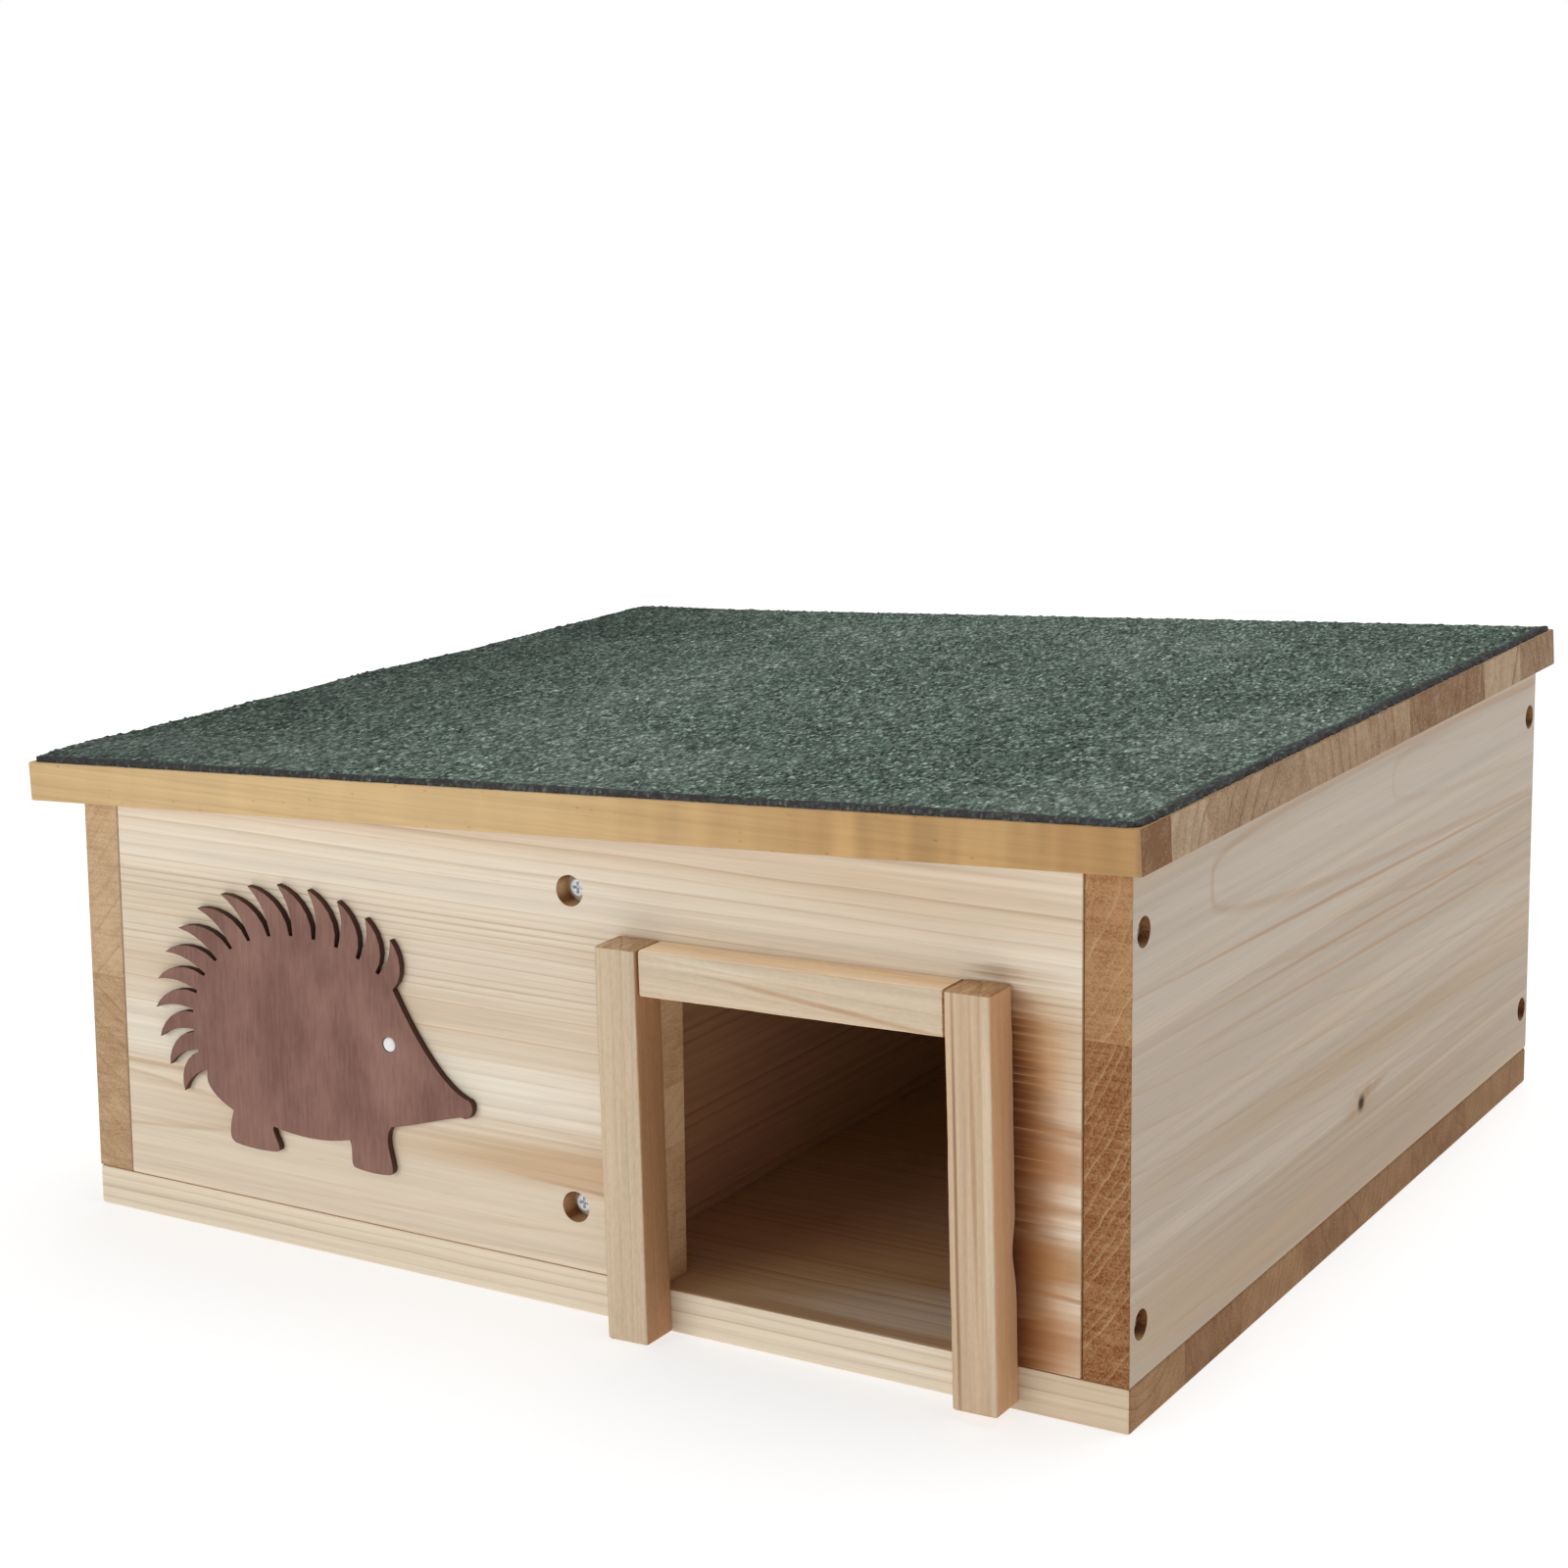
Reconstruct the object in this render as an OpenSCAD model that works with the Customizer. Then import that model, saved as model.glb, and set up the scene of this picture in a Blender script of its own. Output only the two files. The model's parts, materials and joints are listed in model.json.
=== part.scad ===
// Wooden hedgehog house: a boarded box with a framed doorway, an inner partition
// that screens the nest, and a felted roof that falls to the left and is hinged at the back.
// Origin: centre of the base underside. +X right, +Y back, +Z up; the doorway faces -Y.

/* [House] */
// Width of the house over its side walls
house_w = 450; // [440:1:560]
// Depth of the house from front face to back face
house_d = 432; // [360:1:560]
// Thickness of the base board
base_t = 16; // [13:0.5:24]
// Thickness of the wall boards
wall_t = 17; // [14:0.5:24]
// Height of the left wall at its outer face, above the base
left_wall_h = 150.5; // [146:0.5:200]
// Height of the right wall at its outer face, above the base
right_wall_h = 173.5; // [156:0.5:220]
// Open joint between the side walls and the boards between them
joint_gap = 0.5; // [0.2:0.1:1]

/* [Doorway] */
// Clear width of the doorway between its posts
door_w = 120; // [90:1:126]
// Clear height of the doorway above the base
door_h = 112.5; // [90:0.5:116]
// Distance from the house's right face to the doorway
door_from_right = 58; // [48:1:64]
// How far the posts and the lintel cover the edges of the opening in the wall
frame_cover = 3; // [0:0.5:4]
// Lean of the doorway frame to the left, in degrees
frame_lean_angle = 1.2; // [0:0.1:1.4]
// Width of the entrance posts, across the front
post_w = 17; // [14:0.5:22]
// Depth of the entrance posts, out from the wall
post_d = 16.5; // [14:0.5:24]
// Height of the posts' feet above the ground
post_foot = 2; // [2:0.5:8]
// Height of the lintel
lintel_h = 16.5; // [13:0.5:18]
// Depth of the lintel, out from the wall
lintel_d = 15.5; // [14:0.5:24]
// Gap between the lintel and each post
lintel_gap = 0.5; // [0.2:0.1:1]

/* [Partition] */
// Clear width of the nest chamber, from the left wall to the partition
nest_w = 207; // [160:1:212]
// Thickness of the partition
partition_t = 17; // [14:0.5:22]
// Way round the back end of the partition
passage_w = 125; // [100:1:160]
// Gap between the partition and the shut roof
partition_top_gap = 2; // [1:0.5:10]

/* [Roof] */
// Thickness of the roof board
roof_t = 15.5; // [14:0.5:24]
// Overhang of the roof in front
roof_over_front = 11; // [0:0.5:40]
// Overhang of the roof on the low left side
roof_over_left = 17.5; // [0:0.5:40]
// Overhang of the roof on the high right side
roof_over_right = 8; // [0:0.5:40]
// Gap between the shut roof and the wall tops
seat_gap = 0.4; // [0.3:0.1:1]
// Thickness of the roofing felt
felt_t = 2.4; // [1.5:0.1:5]
// Distance from the roof board's edges to the felt
felt_inset = 1.5; // [0:0.5:10]
// Radius of the felt's corners
felt_corner_r = 3; // [2:0.5:30]

/* [Screws] */
// Diameter of the wood screws
screw_d = 4; // [3:0.5:5]
// Diameter of the screw heads
screw_head_d = 8; // [7:0.5:9]
// Height of the screw heads
screw_head_h = 2.6; // [2:0.1:3.2]
// Length of the wall and base screws under the head
screw_len = 40; // [25:1:44]
// Length of the post and lintel screws under the head
frame_screw_len = 25; // [18:1:26]
// Extra diameter of the holes round the screws
screw_clear = 0.3; // [0.2:0.1:0.6]
// Diameter of the pockets in the front wall and the base
pocket_d = 11.5; // [10:0.5:13]
// Diameter of the pockets in the side walls
wall_pocket_d = 10.5; // [9.5:0.5:13]
// Diameter of the pockets behind the posts and lintel
frame_pocket_d = 9.5; // [9:0.5:10.5]
// Depth of the pockets in the side walls
wall_pocket = 5.5; // [4:0.5:11]
// Depth of the pockets in the front wall
partition_pocket = 8; // [4:0.5:11]
// Depth of the pockets in the base underside
base_pocket = 8; // [4:0.5:9]
// Depth of the pockets behind the posts and lintel
frame_pocket = 4; // [3.5:0.5:6]
// Height of the lower side-wall screws above the base
side_screw_low = 19.5; // [18:0.5:40]
// Drop of the upper side-wall screws below the roof
side_screw_drop = 22; // [14:0.5:40]
// Height of the lower partition screw above the base
partition_screw_low = 23.5; // [18:0.5:40]
// Drop of the upper partition screw below the roof
partition_screw_drop = 21.5; // [14:0.5:40]
// Distance of the base screws from the ends of the boards they hold
base_screw_inset = 65; // [55:1:75]
// Height of the lower post screws above the base
post_screw_low = 45; // [32:1:55]
// Drop of the upper post screws below the post tops
post_screw_drop = 32; // [24:1:45]
// Distance of the lintel screws from the lintel's ends
lintel_screw_inset = 25; // [12:1:35]

/* [Hinges] */
// Length of each hinge
hinge_len = 50; // [40:1:70]
// Width of each hinge leaf, from the pin to its edge
hinge_leaf_w = 13; // [12:0.5:13.5]
// Thickness of the hinge leaves
hinge_leaf_t = 1.5; // [1:0.1:2]
// Outer diameter of the hinge knuckles
knuckle_d = 5; // [4.5:0.1:6]
// Diameter of the hinge pins
pin_d = 3; // [2:0.1:3.2]
// Running clearance round the pins in the roof's knuckles
pin_clear = 0.1; // [0.04:0.02:0.2]
// Space between a hinge's neighbouring knuckles and leaves
knuckle_gap = 0.4; // [0.3:0.1:0.8]
// Distance from the side walls to the middle of the hinges
hinge_inset = 85; // [60:1:120]
// Diameter of the hinge screws
hinge_screw_d = 3; // [2.5:0.1:3.4]
// Diameter of the hinge screws' countersunk heads
hinge_screw_head_d = 5.6; // [5:0.1:6]
// Length of the hinge screws
hinge_screw_len = 13; // [10:0.5:13.5]
// Distance of the hinge screws from the pin
hinge_screw_out = 8; // [7:0.5:9]
// Distance between a leaf's two screws
hinge_screw_pitch = 32; // [26:1:34]

/* [Plaque] */
// Length of the hedgehog figure's body without its spines
plaque_body_w = 112; // [90:1:118]
// Height of the hedgehog figure's body without its spines
plaque_body_h = 82; // [60:1:88]
// Length of the figure's spines
spine_len = 21; // [8:0.5:22]
// Number of spines along the back
spine_count = 15; // [9:1:21]
// Thickness of the plaque
plaque_t = 3; // [2.5:0.5:8]
// Distance from the house's left face to the middle of the figure
plaque_from_left = 111; // [100:1:120]
// Height of the middle of the figure above the base
plaque_up = 68; // [60:1:74]
// Diameter of the eye
eye_d = 5.6; // [4:0.1:8]
// Gap round the eye in the plaque
eye_gap = 0.1; // [0.05:0.05:0.3]
// Height of the eye above the plaque's face
eye_proud = 0.3; // [0.1:0.1:1]

/* [Hidden] */
$fn = 48;

// Faces of the house
left_x = -house_w / 2;
right_x = house_w / 2;
front_y = -house_d / 2;
back_y = house_d / 2;
inner_front_y = front_y + wall_t;
inner_back_y = back_y - wall_t;
board_left_x = left_x + wall_t + joint_gap;
board_right_x = right_x - wall_t - joint_gap;

// The wall tops and the roof share one slope
roof_rise = (right_wall_h - left_wall_h) / house_w;
roof_angle = atan(roof_rise);
function wall_top(x) = base_t + left_wall_h + roof_rise * (x - left_x);
roof_z = wall_top(0) + seat_gap / cos(roof_angle);
roof_left = (left_x - roof_over_left) / cos(roof_angle);
roof_right = (right_x + roof_over_right) / cos(roof_angle);
roof_front = front_y - roof_over_front;

// Doorway, its frame and the partition
door_right_x = right_x - door_from_right;
door_left_x = door_right_x - door_w;
door_top = base_t + door_h;
frame_top = door_top + lintel_h;
hole_left_x = door_left_x - frame_cover;
hole_right_x = door_right_x + frame_cover;
hole_top = door_top + frame_cover;
frame_middle = [(door_left_x + door_right_x) / 2, 0, frame_top / 2];
left_post_x = door_left_x - post_w / 2;
right_post_x = door_right_x + post_w / 2;
partition_left_x = left_x + wall_t + nest_w;
partition_x = partition_left_x + partition_t / 2;
partition_end_y = inner_back_y - passage_w;

// Screw points
cut = 1;
side_screw_ys = [front_y + wall_t / 2, back_y - wall_t / 2];
partition_screw_zs = [base_t + partition_screw_low, wall_top(partition_x) - partition_screw_drop];
post_screw_xs = [left_post_x - frame_cover / 2, right_post_x + frame_cover / 2];
post_screw_zs = [base_t + post_screw_low, frame_top - post_screw_drop];
lintel_screw_z = (hole_top + frame_top) / 2;
lintel_screw_xs = [door_left_x + lintel_screw_inset, door_right_x - lintel_screw_inset];
base_screw_points = [
    for (x = [left_x + wall_t / 2, right_x - wall_t / 2])
        for (y = [front_y + base_screw_inset, 0, back_y - base_screw_inset]) [x, y],
    for (x = [left_x + base_screw_inset, partition_x - base_screw_inset]) [x, front_y + wall_t / 2],
    for (x = [left_x + base_screw_inset, right_x - base_screw_inset]) [x, back_y - wall_t / 2],
    for (y = [inner_front_y + base_screw_inset, partition_end_y - base_screw_inset]) [partition_x, y]];

// Screw details
head_chamfer = screw_head_h * 0.4;
tip_len = screw_d;
recess_len = screw_head_d * 0.55;
recess_w = screw_head_d * 0.14;
recess_depth = screw_head_h * 0.6;

// Hinge places, on the roof's own slope
pin_y = back_y + knuckle_d / 2 + knuckle_gap;
pin_z = -seat_gap / 2;
hinge_xs = [(left_x + hinge_inset) / cos(roof_angle), (right_x - hinge_inset) / cos(roof_angle)];
knuckle_len = (hinge_len - 2 * knuckle_gap) / 3;
leaf_notch = knuckle_d / 2 + knuckle_gap;
head_clear = 0.1;

// Hedgehog figure
plaque_x = left_x + plaque_from_left;
plaque_z = base_t + plaque_up;
body_rx = plaque_body_w / 2;
body_rz = plaque_body_h / 2;
spine_start_angle = 40;
spine_end_angle = 208;
spine_lean_angle = 9;
spine_root_share = 0.86;
curve_steps = 8;
spine_steps = 6;
eye_at = [body_rx * 0.72, body_rz * 0.12];

wall_colour = "BurlyWood";
end_colour = "Tan";
frame_colour = "Wheat";
zinc_colour = "Silver";

// A flat outline in X and Z, made into a board that runs from y to y + depth
module board_from(y, depth) {
    translate([0, y + depth, 0]) rotate([90, 0, 0]) linear_extrude(depth) children();
}

// Side of a board whose top follows the roof's slope
module sloped_outline(x0, x1) {
    polygon([[x0, base_t], [x1, base_t], [x1, wall_top(x1)], [x0, wall_top(x0)]]);
}

// Children are drawn on the roof's slope, with z = 0 at the roof's underside
module on_roof_slope() {
    translate([0, 0, roof_z]) rotate([0, -roof_angle, 0]) children();
}

// Pan-head screw: the head's seat at z = 0, the point towards +z
module screw(length) {
    difference() {
        rotate_extrude() polygon([
            [0, -screw_head_h], [screw_head_d / 2 - head_chamfer, -screw_head_h],
            [screw_head_d / 2, head_chamfer - screw_head_h], [screw_head_d / 2, 0],
            [screw_d / 2, 0], [screw_d / 2, length - tip_len], [0, length]]);
        for (turn = [0, 90])
            rotate([0, 0, turn])
                translate([-recess_len / 2, -recess_w / 2, -screw_head_h - cut])
                    cube([recess_len, recess_w, recess_depth + cut]);
    }
}

// Space for a screw and the pocket above its head
module screw_space(length, pocket, pocket_width = pocket_d) {
    cylinder(d = screw_d + screw_clear, h = length + screw_clear);
    translate([0, 0, -pocket - cut]) cylinder(d = pocket_width, h = pocket + cut);
}

module wall_screw_space() {
    screw_space(screw_len, wall_pocket, wall_pocket_d);
}

module frame_screw_space() {
    screw_space(frame_screw_len, frame_pocket, frame_pocket_d);
}

// Places of the screws: children point their +z the way the screw goes in
module at_left_wall_screws() {
    for (y = side_screw_ys)
        for (z = [base_t + side_screw_low, wall_top(left_x) - side_screw_drop])
            translate([left_x + wall_pocket, y, z]) rotate([0, 90, 0]) children();
}

module at_right_wall_screws() {
    for (y = side_screw_ys)
        for (z = [base_t + side_screw_low, wall_top(right_x) - side_screw_drop])
            translate([right_x - wall_pocket, y, z]) rotate([0, -90, 0]) children();
}

module at_partition_screws() {
    for (z = partition_screw_zs)
        translate([partition_x, front_y + partition_pocket, z]) rotate([-90, 0, 0]) children();
}

module at_base_screws() {
    for (point = base_screw_points) translate([point[0], point[1], base_pocket]) children();
}

module at_post_screws() {
    for (x = post_screw_xs)
        for (z = post_screw_zs)
            translate([x, inner_front_y - frame_pocket, z]) rotate([90, 0, 0]) children();
}

module at_lintel_screws() {
    for (x = lintel_screw_xs)
        translate([x, inner_front_y - frame_pocket, lintel_screw_z]) rotate([90, 0, 0]) children();
}

module base_board() {
    color(wall_colour) difference() {
        translate([left_x, front_y, 0]) cube([house_w, house_d, base_t]);
        at_base_screws() screw_space(screw_len, base_pocket);
    }
}

module left_wall() {
    color(end_colour) difference() {
        board_from(front_y, house_d) sloped_outline(left_x, left_x + wall_t);
        at_left_wall_screws() wall_screw_space();
        at_base_screws() screw_space(screw_len, base_pocket);
    }
}

module right_wall() {
    color(end_colour) difference() {
        board_from(front_y, house_d) sloped_outline(right_x - wall_t, right_x);
        at_right_wall_screws() wall_screw_space();
        at_base_screws() screw_space(screw_len, base_pocket);
    }
}

module front_wall() {
    color(wall_colour) difference() {
        board_from(front_y, wall_t) difference() {
            sloped_outline(board_left_x, board_right_x);
            translate([hole_left_x, 0]) square([hole_right_x - hole_left_x, hole_top]);
        }
        at_left_wall_screws() wall_screw_space();
        at_right_wall_screws() wall_screw_space();
        at_partition_screws() screw_space(screw_len, partition_pocket);
        at_base_screws() screw_space(screw_len, base_pocket);
        at_post_screws() frame_screw_space();
        at_lintel_screws() frame_screw_space();
    }
}

module back_wall() {
    color(wall_colour) difference() {
        board_from(inner_back_y, wall_t) sloped_outline(board_left_x, board_right_x);
        at_left_wall_screws() wall_screw_space();
        at_right_wall_screws() wall_screw_space();
        at_base_screws() screw_space(screw_len, base_pocket);
        on_roof_slope() at_hinge_screws(-1) hinge_screw_space();
    }
}

module partition() {
    top = wall_top(partition_left_x) + seat_gap - partition_top_gap;
    color(wall_colour) difference() {
        translate([partition_left_x, inner_front_y, base_t])
            cube([partition_t, partition_end_y - inner_front_y, top - base_t]);
        at_partition_screws() screw_space(screw_len, partition_pocket);
        at_base_screws() screw_space(screw_len, base_pocket);
    }
}

// Children lean with the doorway frame, about its middle
module leaning_frame() {
    translate(frame_middle) rotate([0, -frame_lean_angle, 0]) translate(-frame_middle) children();
}

// A post stands against the wall and runs down over the base's edge
module entrance_post(x) {
    color(frame_colour) difference() {
        leaning_frame() translate([x - post_w / 2, front_y - post_d, post_foot])
            cube([post_w, post_d, frame_top - post_foot]);
        at_post_screws() frame_screw_space();
    }
}

module left_entrance_post() {
    entrance_post(left_post_x);
}

module right_entrance_post() {
    entrance_post(right_post_x);
}

module entrance_lintel() {
    color(frame_colour) difference() {
        leaning_frame() translate([door_left_x + lintel_gap, front_y - lintel_d, door_top])
            cube([door_w - 2 * lintel_gap, lintel_d, lintel_h]);
        at_lintel_screws() frame_screw_space();
    }
}

// Points of a cubic curve from a to d, without d
function curve(a, b, c, d, steps = curve_steps) = [
    for (i = [0 : steps - 1])
        let (t = i / steps, s = 1 - t)
            s * s * s * a + 3 * s * s * t * b + 3 * s * t * t * c + t * t * t * d];

// A point of the body's oval, grown outwards
function oval(angle, grow = 0) = [(body_rx + grow) * cos(angle), (body_rz + grow) * sin(angle)];

// One spine: a thorn on the oval between two angles, its tip bent towards the rump
function spine(from, to, length) =
    let (middle = (from + to) / 2,
         tip = oval(middle + spine_lean_angle, length))
        concat(curve(oval(from), oval(from, length * 0.5),
                     oval(middle + spine_lean_angle * 0.3, length * 0.9), tip, spine_steps),
               curve(tip, oval(middle + spine_lean_angle * 0.5, length * 0.6),
                     oval(to, length * 0.3), oval(to), spine_steps),
               [oval(to)]);

// The spines from the forehead over the back to the rump, longest on the back
spine_step = (spine_end_angle - spine_start_angle) / spine_count;
spine_row = [
    for (i = [0 : spine_count - 1])
        let (from = spine_start_angle + i * spine_step,
             length = spine_len * (0.7 + 0.3 * sin(180 * (i + 0.5) / spine_count)))
            each spine(from, from + spine_step * spine_root_share, length)];

// Face, chin, feet and belly, in the body's own lengths
function face(x, z) = [body_rx * x, body_rz * z];
forehead = oval(spine_start_angle);
rump = oval(spine_end_angle);
nose_top = face(1.34, -0.26);
nose_under = face(1.3, -0.44);
throat = face(0.72, -0.66);
front_foot = face(0.7, -1.12);
front_heel = face(0.42, -1.12);
belly_front = face(0.36, -0.86);
belly_back = face(-0.3, -0.88);
hind_foot = face(-0.28, -1.12);
hind_heel = face(-0.62, -1.12);
hind_leg = face(-0.66, -0.8);
hedgehog_outline = concat(
    spine_row,
    curve(rump, face(-0.92, -0.6), face(-0.8, -0.72), hind_leg),
    curve(hind_leg, face(-0.68, -0.9), face(-0.74, -1.12), hind_heel),
    curve(hind_heel, face(-0.52, -1.14), face(-0.36, -1.14), hind_foot),
    curve(hind_foot, face(-0.2, -1.1), face(-0.34, -0.92), belly_back),
    curve(belly_back, face(-0.1, -0.94), face(0.16, -0.94), belly_front),
    curve(belly_front, face(0.4, -0.96), face(0.34, -1.12), front_heel),
    curve(front_heel, face(0.5, -1.14), face(0.62, -1.14), front_foot),
    curve(front_foot, face(0.78, -1.08), face(0.62, -0.8), throat),
    curve(throat, face(0.92, -0.6), face(1.12, -0.5), nose_under),
    curve(nose_under, face(1.4, -0.5), face(1.44, -0.26), nose_top),
    curve(nose_top, face(1.2, -0.2), face(0.98, 0.1), forehead));

module hedgehog_plaque() {
    color("SaddleBrown") translate([plaque_x, 0, plaque_z])
        board_from(front_y - plaque_t, plaque_t) difference() {
            polygon(hedgehog_outline);
            translate(eye_at) circle(d = eye_d + 2 * eye_gap);
        }
}

module plaque_eye() {
    color("White") translate([plaque_x, 0, plaque_z])
        board_from(front_y - plaque_t - eye_proud, plaque_t + eye_proud) translate(eye_at) circle(d = eye_d);
}

module left_wall_screws() {
    color(zinc_colour) at_left_wall_screws() screw(screw_len);
}

module right_wall_screws() {
    color(zinc_colour) at_right_wall_screws() screw(screw_len);
}

module partition_screws() {
    color(zinc_colour) at_partition_screws() screw(screw_len);
}

module base_screws() {
    color(zinc_colour) at_base_screws() screw(screw_len);
}

module post_screws() {
    color(zinc_colour) at_post_screws() screw(frame_screw_len);
}

module lintel_screws() {
    color(zinc_colour) at_lintel_screws() screw(frame_screw_len);
}

// Countersunk hinge screw: the head's flat at z = 0, the point towards +z
module hinge_screw() {
    rotate_extrude() polygon([
        [0, 0], [hinge_screw_head_d / 2, 0], [hinge_screw_d / 2, hinge_leaf_t],
        [hinge_screw_d / 2, hinge_screw_len - hinge_screw_d], [0, hinge_screw_len]]);
}

// Space for a hinge screw in the leaf and the board behind it
module hinge_screw_space() {
    cylinder(d1 = hinge_screw_head_d + 2 * head_clear, d2 = hinge_screw_d + 2 * head_clear, h = hinge_leaf_t);
    cylinder(d = hinge_screw_d + 2 * head_clear, h = hinge_screw_len + head_clear);
}

// Hinge screws of the wall's leaves (side -1) or the roof's leaves (side 1)
module at_hinge_screws(side) {
    for (x = hinge_xs)
        for (dx = [-hinge_screw_pitch / 2, hinge_screw_pitch / 2])
            translate([x + dx, back_y + hinge_leaf_t, pin_z + side * hinge_screw_out])
                rotate([90, 0, 0]) children();
}

// A stretch of knuckle round the pin, from x to x + length
module knuckle(x, length, bore) {
    translate([x, pin_y, pin_z]) rotate([0, 90, 0]) difference() {
        cylinder(d = knuckle_d, h = length);
        translate([0, 0, -cut]) cylinder(d = bore, h = length + 2 * cut);
    }
}

// One leaf: side -1 hangs on the wall with two knuckles, side 1 stands on the roof with one
module hinge_leaf(side, knuckle_starts, bore) {
    for (start = knuckle_starts) knuckle(start, knuckle_len, bore);
    difference() {
        union() {
            translate([-hinge_len / 2, back_y, side > 0 ? pin_z + leaf_notch : pin_z - hinge_leaf_w])
                cube([hinge_len, hinge_leaf_t, hinge_leaf_w - leaf_notch]);
            for (start = knuckle_starts)
                translate([start, back_y, side > 0 ? pin_z : pin_z - hinge_leaf_w])
                    cube([knuckle_len, hinge_leaf_t, hinge_leaf_w]);
        }
        translate([-hinge_len, pin_y, pin_z]) rotate([0, 90, 0]) cylinder(d = bore, h = 2 * hinge_len);
    }
}

module wall_hinge_leaves() {
    color(zinc_colour) on_roof_slope() difference() {
        for (x = hinge_xs)
            translate([x, 0, 0])
                hinge_leaf(-1, [-hinge_len / 2, hinge_len / 2 - knuckle_len], pin_d);
        at_hinge_screws(-1) hinge_screw_space();
    }
}

module hinge_pins() {
    color(zinc_colour) on_roof_slope()
        for (x = hinge_xs)
            translate([x - hinge_len / 2, pin_y, pin_z])
                rotate([0, 90, 0]) cylinder(d = pin_d, h = hinge_len);
}

module wall_hinge_screws() {
    color(zinc_colour) on_roof_slope() at_hinge_screws(-1) hinge_screw();
}

module roof_board() {
    color("Peru") on_roof_slope() difference() {
        translate([roof_left, roof_front, 0])
            cube([roof_right - roof_left, back_y - roof_front, roof_t]);
        at_hinge_screws(1) hinge_screw_space();
    }
}

// Sheet with round corners, inside the edges of the roof board
module felt_outline() {
    low = [roof_left + felt_inset, roof_front + felt_inset];
    high = [roof_right - felt_inset, back_y - felt_inset];
    size = high - low;
    translate(low + [felt_corner_r, 0]) square([size[0] - 2 * felt_corner_r, size[1]]);
    translate(low + [0, felt_corner_r]) square([size[0], size[1] - 2 * felt_corner_r]);
    for (x = [low[0] + felt_corner_r, high[0] - felt_corner_r])
        for (y = [low[1] + felt_corner_r, high[1] - felt_corner_r])
            translate([x, y]) circle(r = felt_corner_r);
}

module roof_felt() {
    color("DarkSlateGray") on_roof_slope()
        translate([0, 0, roof_t]) linear_extrude(felt_t) felt_outline();
}

module roof_hinge_leaves() {
    color(zinc_colour) on_roof_slope() difference() {
        for (x = hinge_xs)
            translate([x, 0, 0]) hinge_leaf(1, [-knuckle_len / 2], pin_d + pin_clear);
        at_hinge_screws(1) hinge_screw_space();
    }
}

module roof_hinge_screws() {
    color(zinc_colour) on_roof_slope() at_hinge_screws(1) hinge_screw();
}

base_board();
left_wall();
right_wall();
front_wall();
back_wall();
partition();
left_entrance_post();
right_entrance_post();
entrance_lintel();
hedgehog_plaque();
plaque_eye();
left_wall_screws();
right_wall_screws();
partition_screws();
base_screws();
post_screws();
lintel_screws();
wall_hinge_leaves();
hinge_pins();
wall_hinge_screws();
roof_board();
roof_felt();
roof_hinge_leaves();
roof_hinge_screws();
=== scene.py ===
import json
import math
from types import SimpleNamespace

import bmesh
import bpy
import numpy as np
from mathutils import Matrix, Vector

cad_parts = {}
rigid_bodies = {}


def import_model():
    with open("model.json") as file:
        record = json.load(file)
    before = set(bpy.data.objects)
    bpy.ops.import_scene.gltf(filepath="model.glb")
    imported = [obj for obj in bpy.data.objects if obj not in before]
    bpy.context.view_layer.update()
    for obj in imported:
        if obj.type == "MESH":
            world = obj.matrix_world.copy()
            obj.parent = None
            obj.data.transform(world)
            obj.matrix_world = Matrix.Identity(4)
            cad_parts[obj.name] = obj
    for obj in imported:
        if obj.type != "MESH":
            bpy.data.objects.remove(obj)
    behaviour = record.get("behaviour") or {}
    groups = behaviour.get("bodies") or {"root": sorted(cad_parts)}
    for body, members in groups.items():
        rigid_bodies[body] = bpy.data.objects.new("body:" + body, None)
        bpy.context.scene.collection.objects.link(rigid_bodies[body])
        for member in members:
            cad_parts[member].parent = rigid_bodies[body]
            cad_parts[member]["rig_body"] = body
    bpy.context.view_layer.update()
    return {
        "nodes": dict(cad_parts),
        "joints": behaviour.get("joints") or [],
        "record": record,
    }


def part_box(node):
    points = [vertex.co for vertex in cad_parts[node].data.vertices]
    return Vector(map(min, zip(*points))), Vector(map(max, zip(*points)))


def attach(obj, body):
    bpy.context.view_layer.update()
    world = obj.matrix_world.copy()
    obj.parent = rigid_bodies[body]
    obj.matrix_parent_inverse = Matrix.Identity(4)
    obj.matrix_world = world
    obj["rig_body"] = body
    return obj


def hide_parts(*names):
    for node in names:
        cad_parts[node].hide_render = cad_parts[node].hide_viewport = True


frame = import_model()
nodes = frame["nodes"]
scene = bpy.context.scene
mm = 0.001  # sizes in the dictionaries are in millimetres
print("frame loaded,", len(nodes), "pieces")

# The roof's fall is the lean of its hinge axis
hingeAxis = frame["joints"][0]["axis"]
roofFall = math.atan2(hingeAxis[2], hingeAxis[0]) % math.pi

# Camera and studio
photoView = {
    "lens": 68.7323,  # mm on a 36 mm wide sensor
    "sensor": 36.0,
    "shift": (0.02616, -0.1125),
    "place": (601.63, -1069.22, 416.12),
    "turn": 31.376,  # degrees from straight in front, then down, then about the view line
    "dip": 8.664,
    "roll": -0.707,
    "clip": (0.01, 200),  # nearest and farthest, in metres
}

studio = {
    "floorReach": 40000,
    "floorTone": (0.5, 0.5, 0.5),
    "floorGlow": 0.66,
    "skyGlow": 0.3,
    "keyFrom": (-0.40, -0.90, 0.17),
    "keyStrength": 0.41,
    "keySoftness": 40,  # degrees across
    "topFrom": (0.12, 0.35, 0.92),
    "topStrength": 0.54,
    "topSoftness": 60,
    "toe": [(0.01, 0.0075), (0.03, 0.0235), (0.06, 0.054), (0.12, 0.117), (0.3, 0.3)],  # deeper shadows
}


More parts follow.
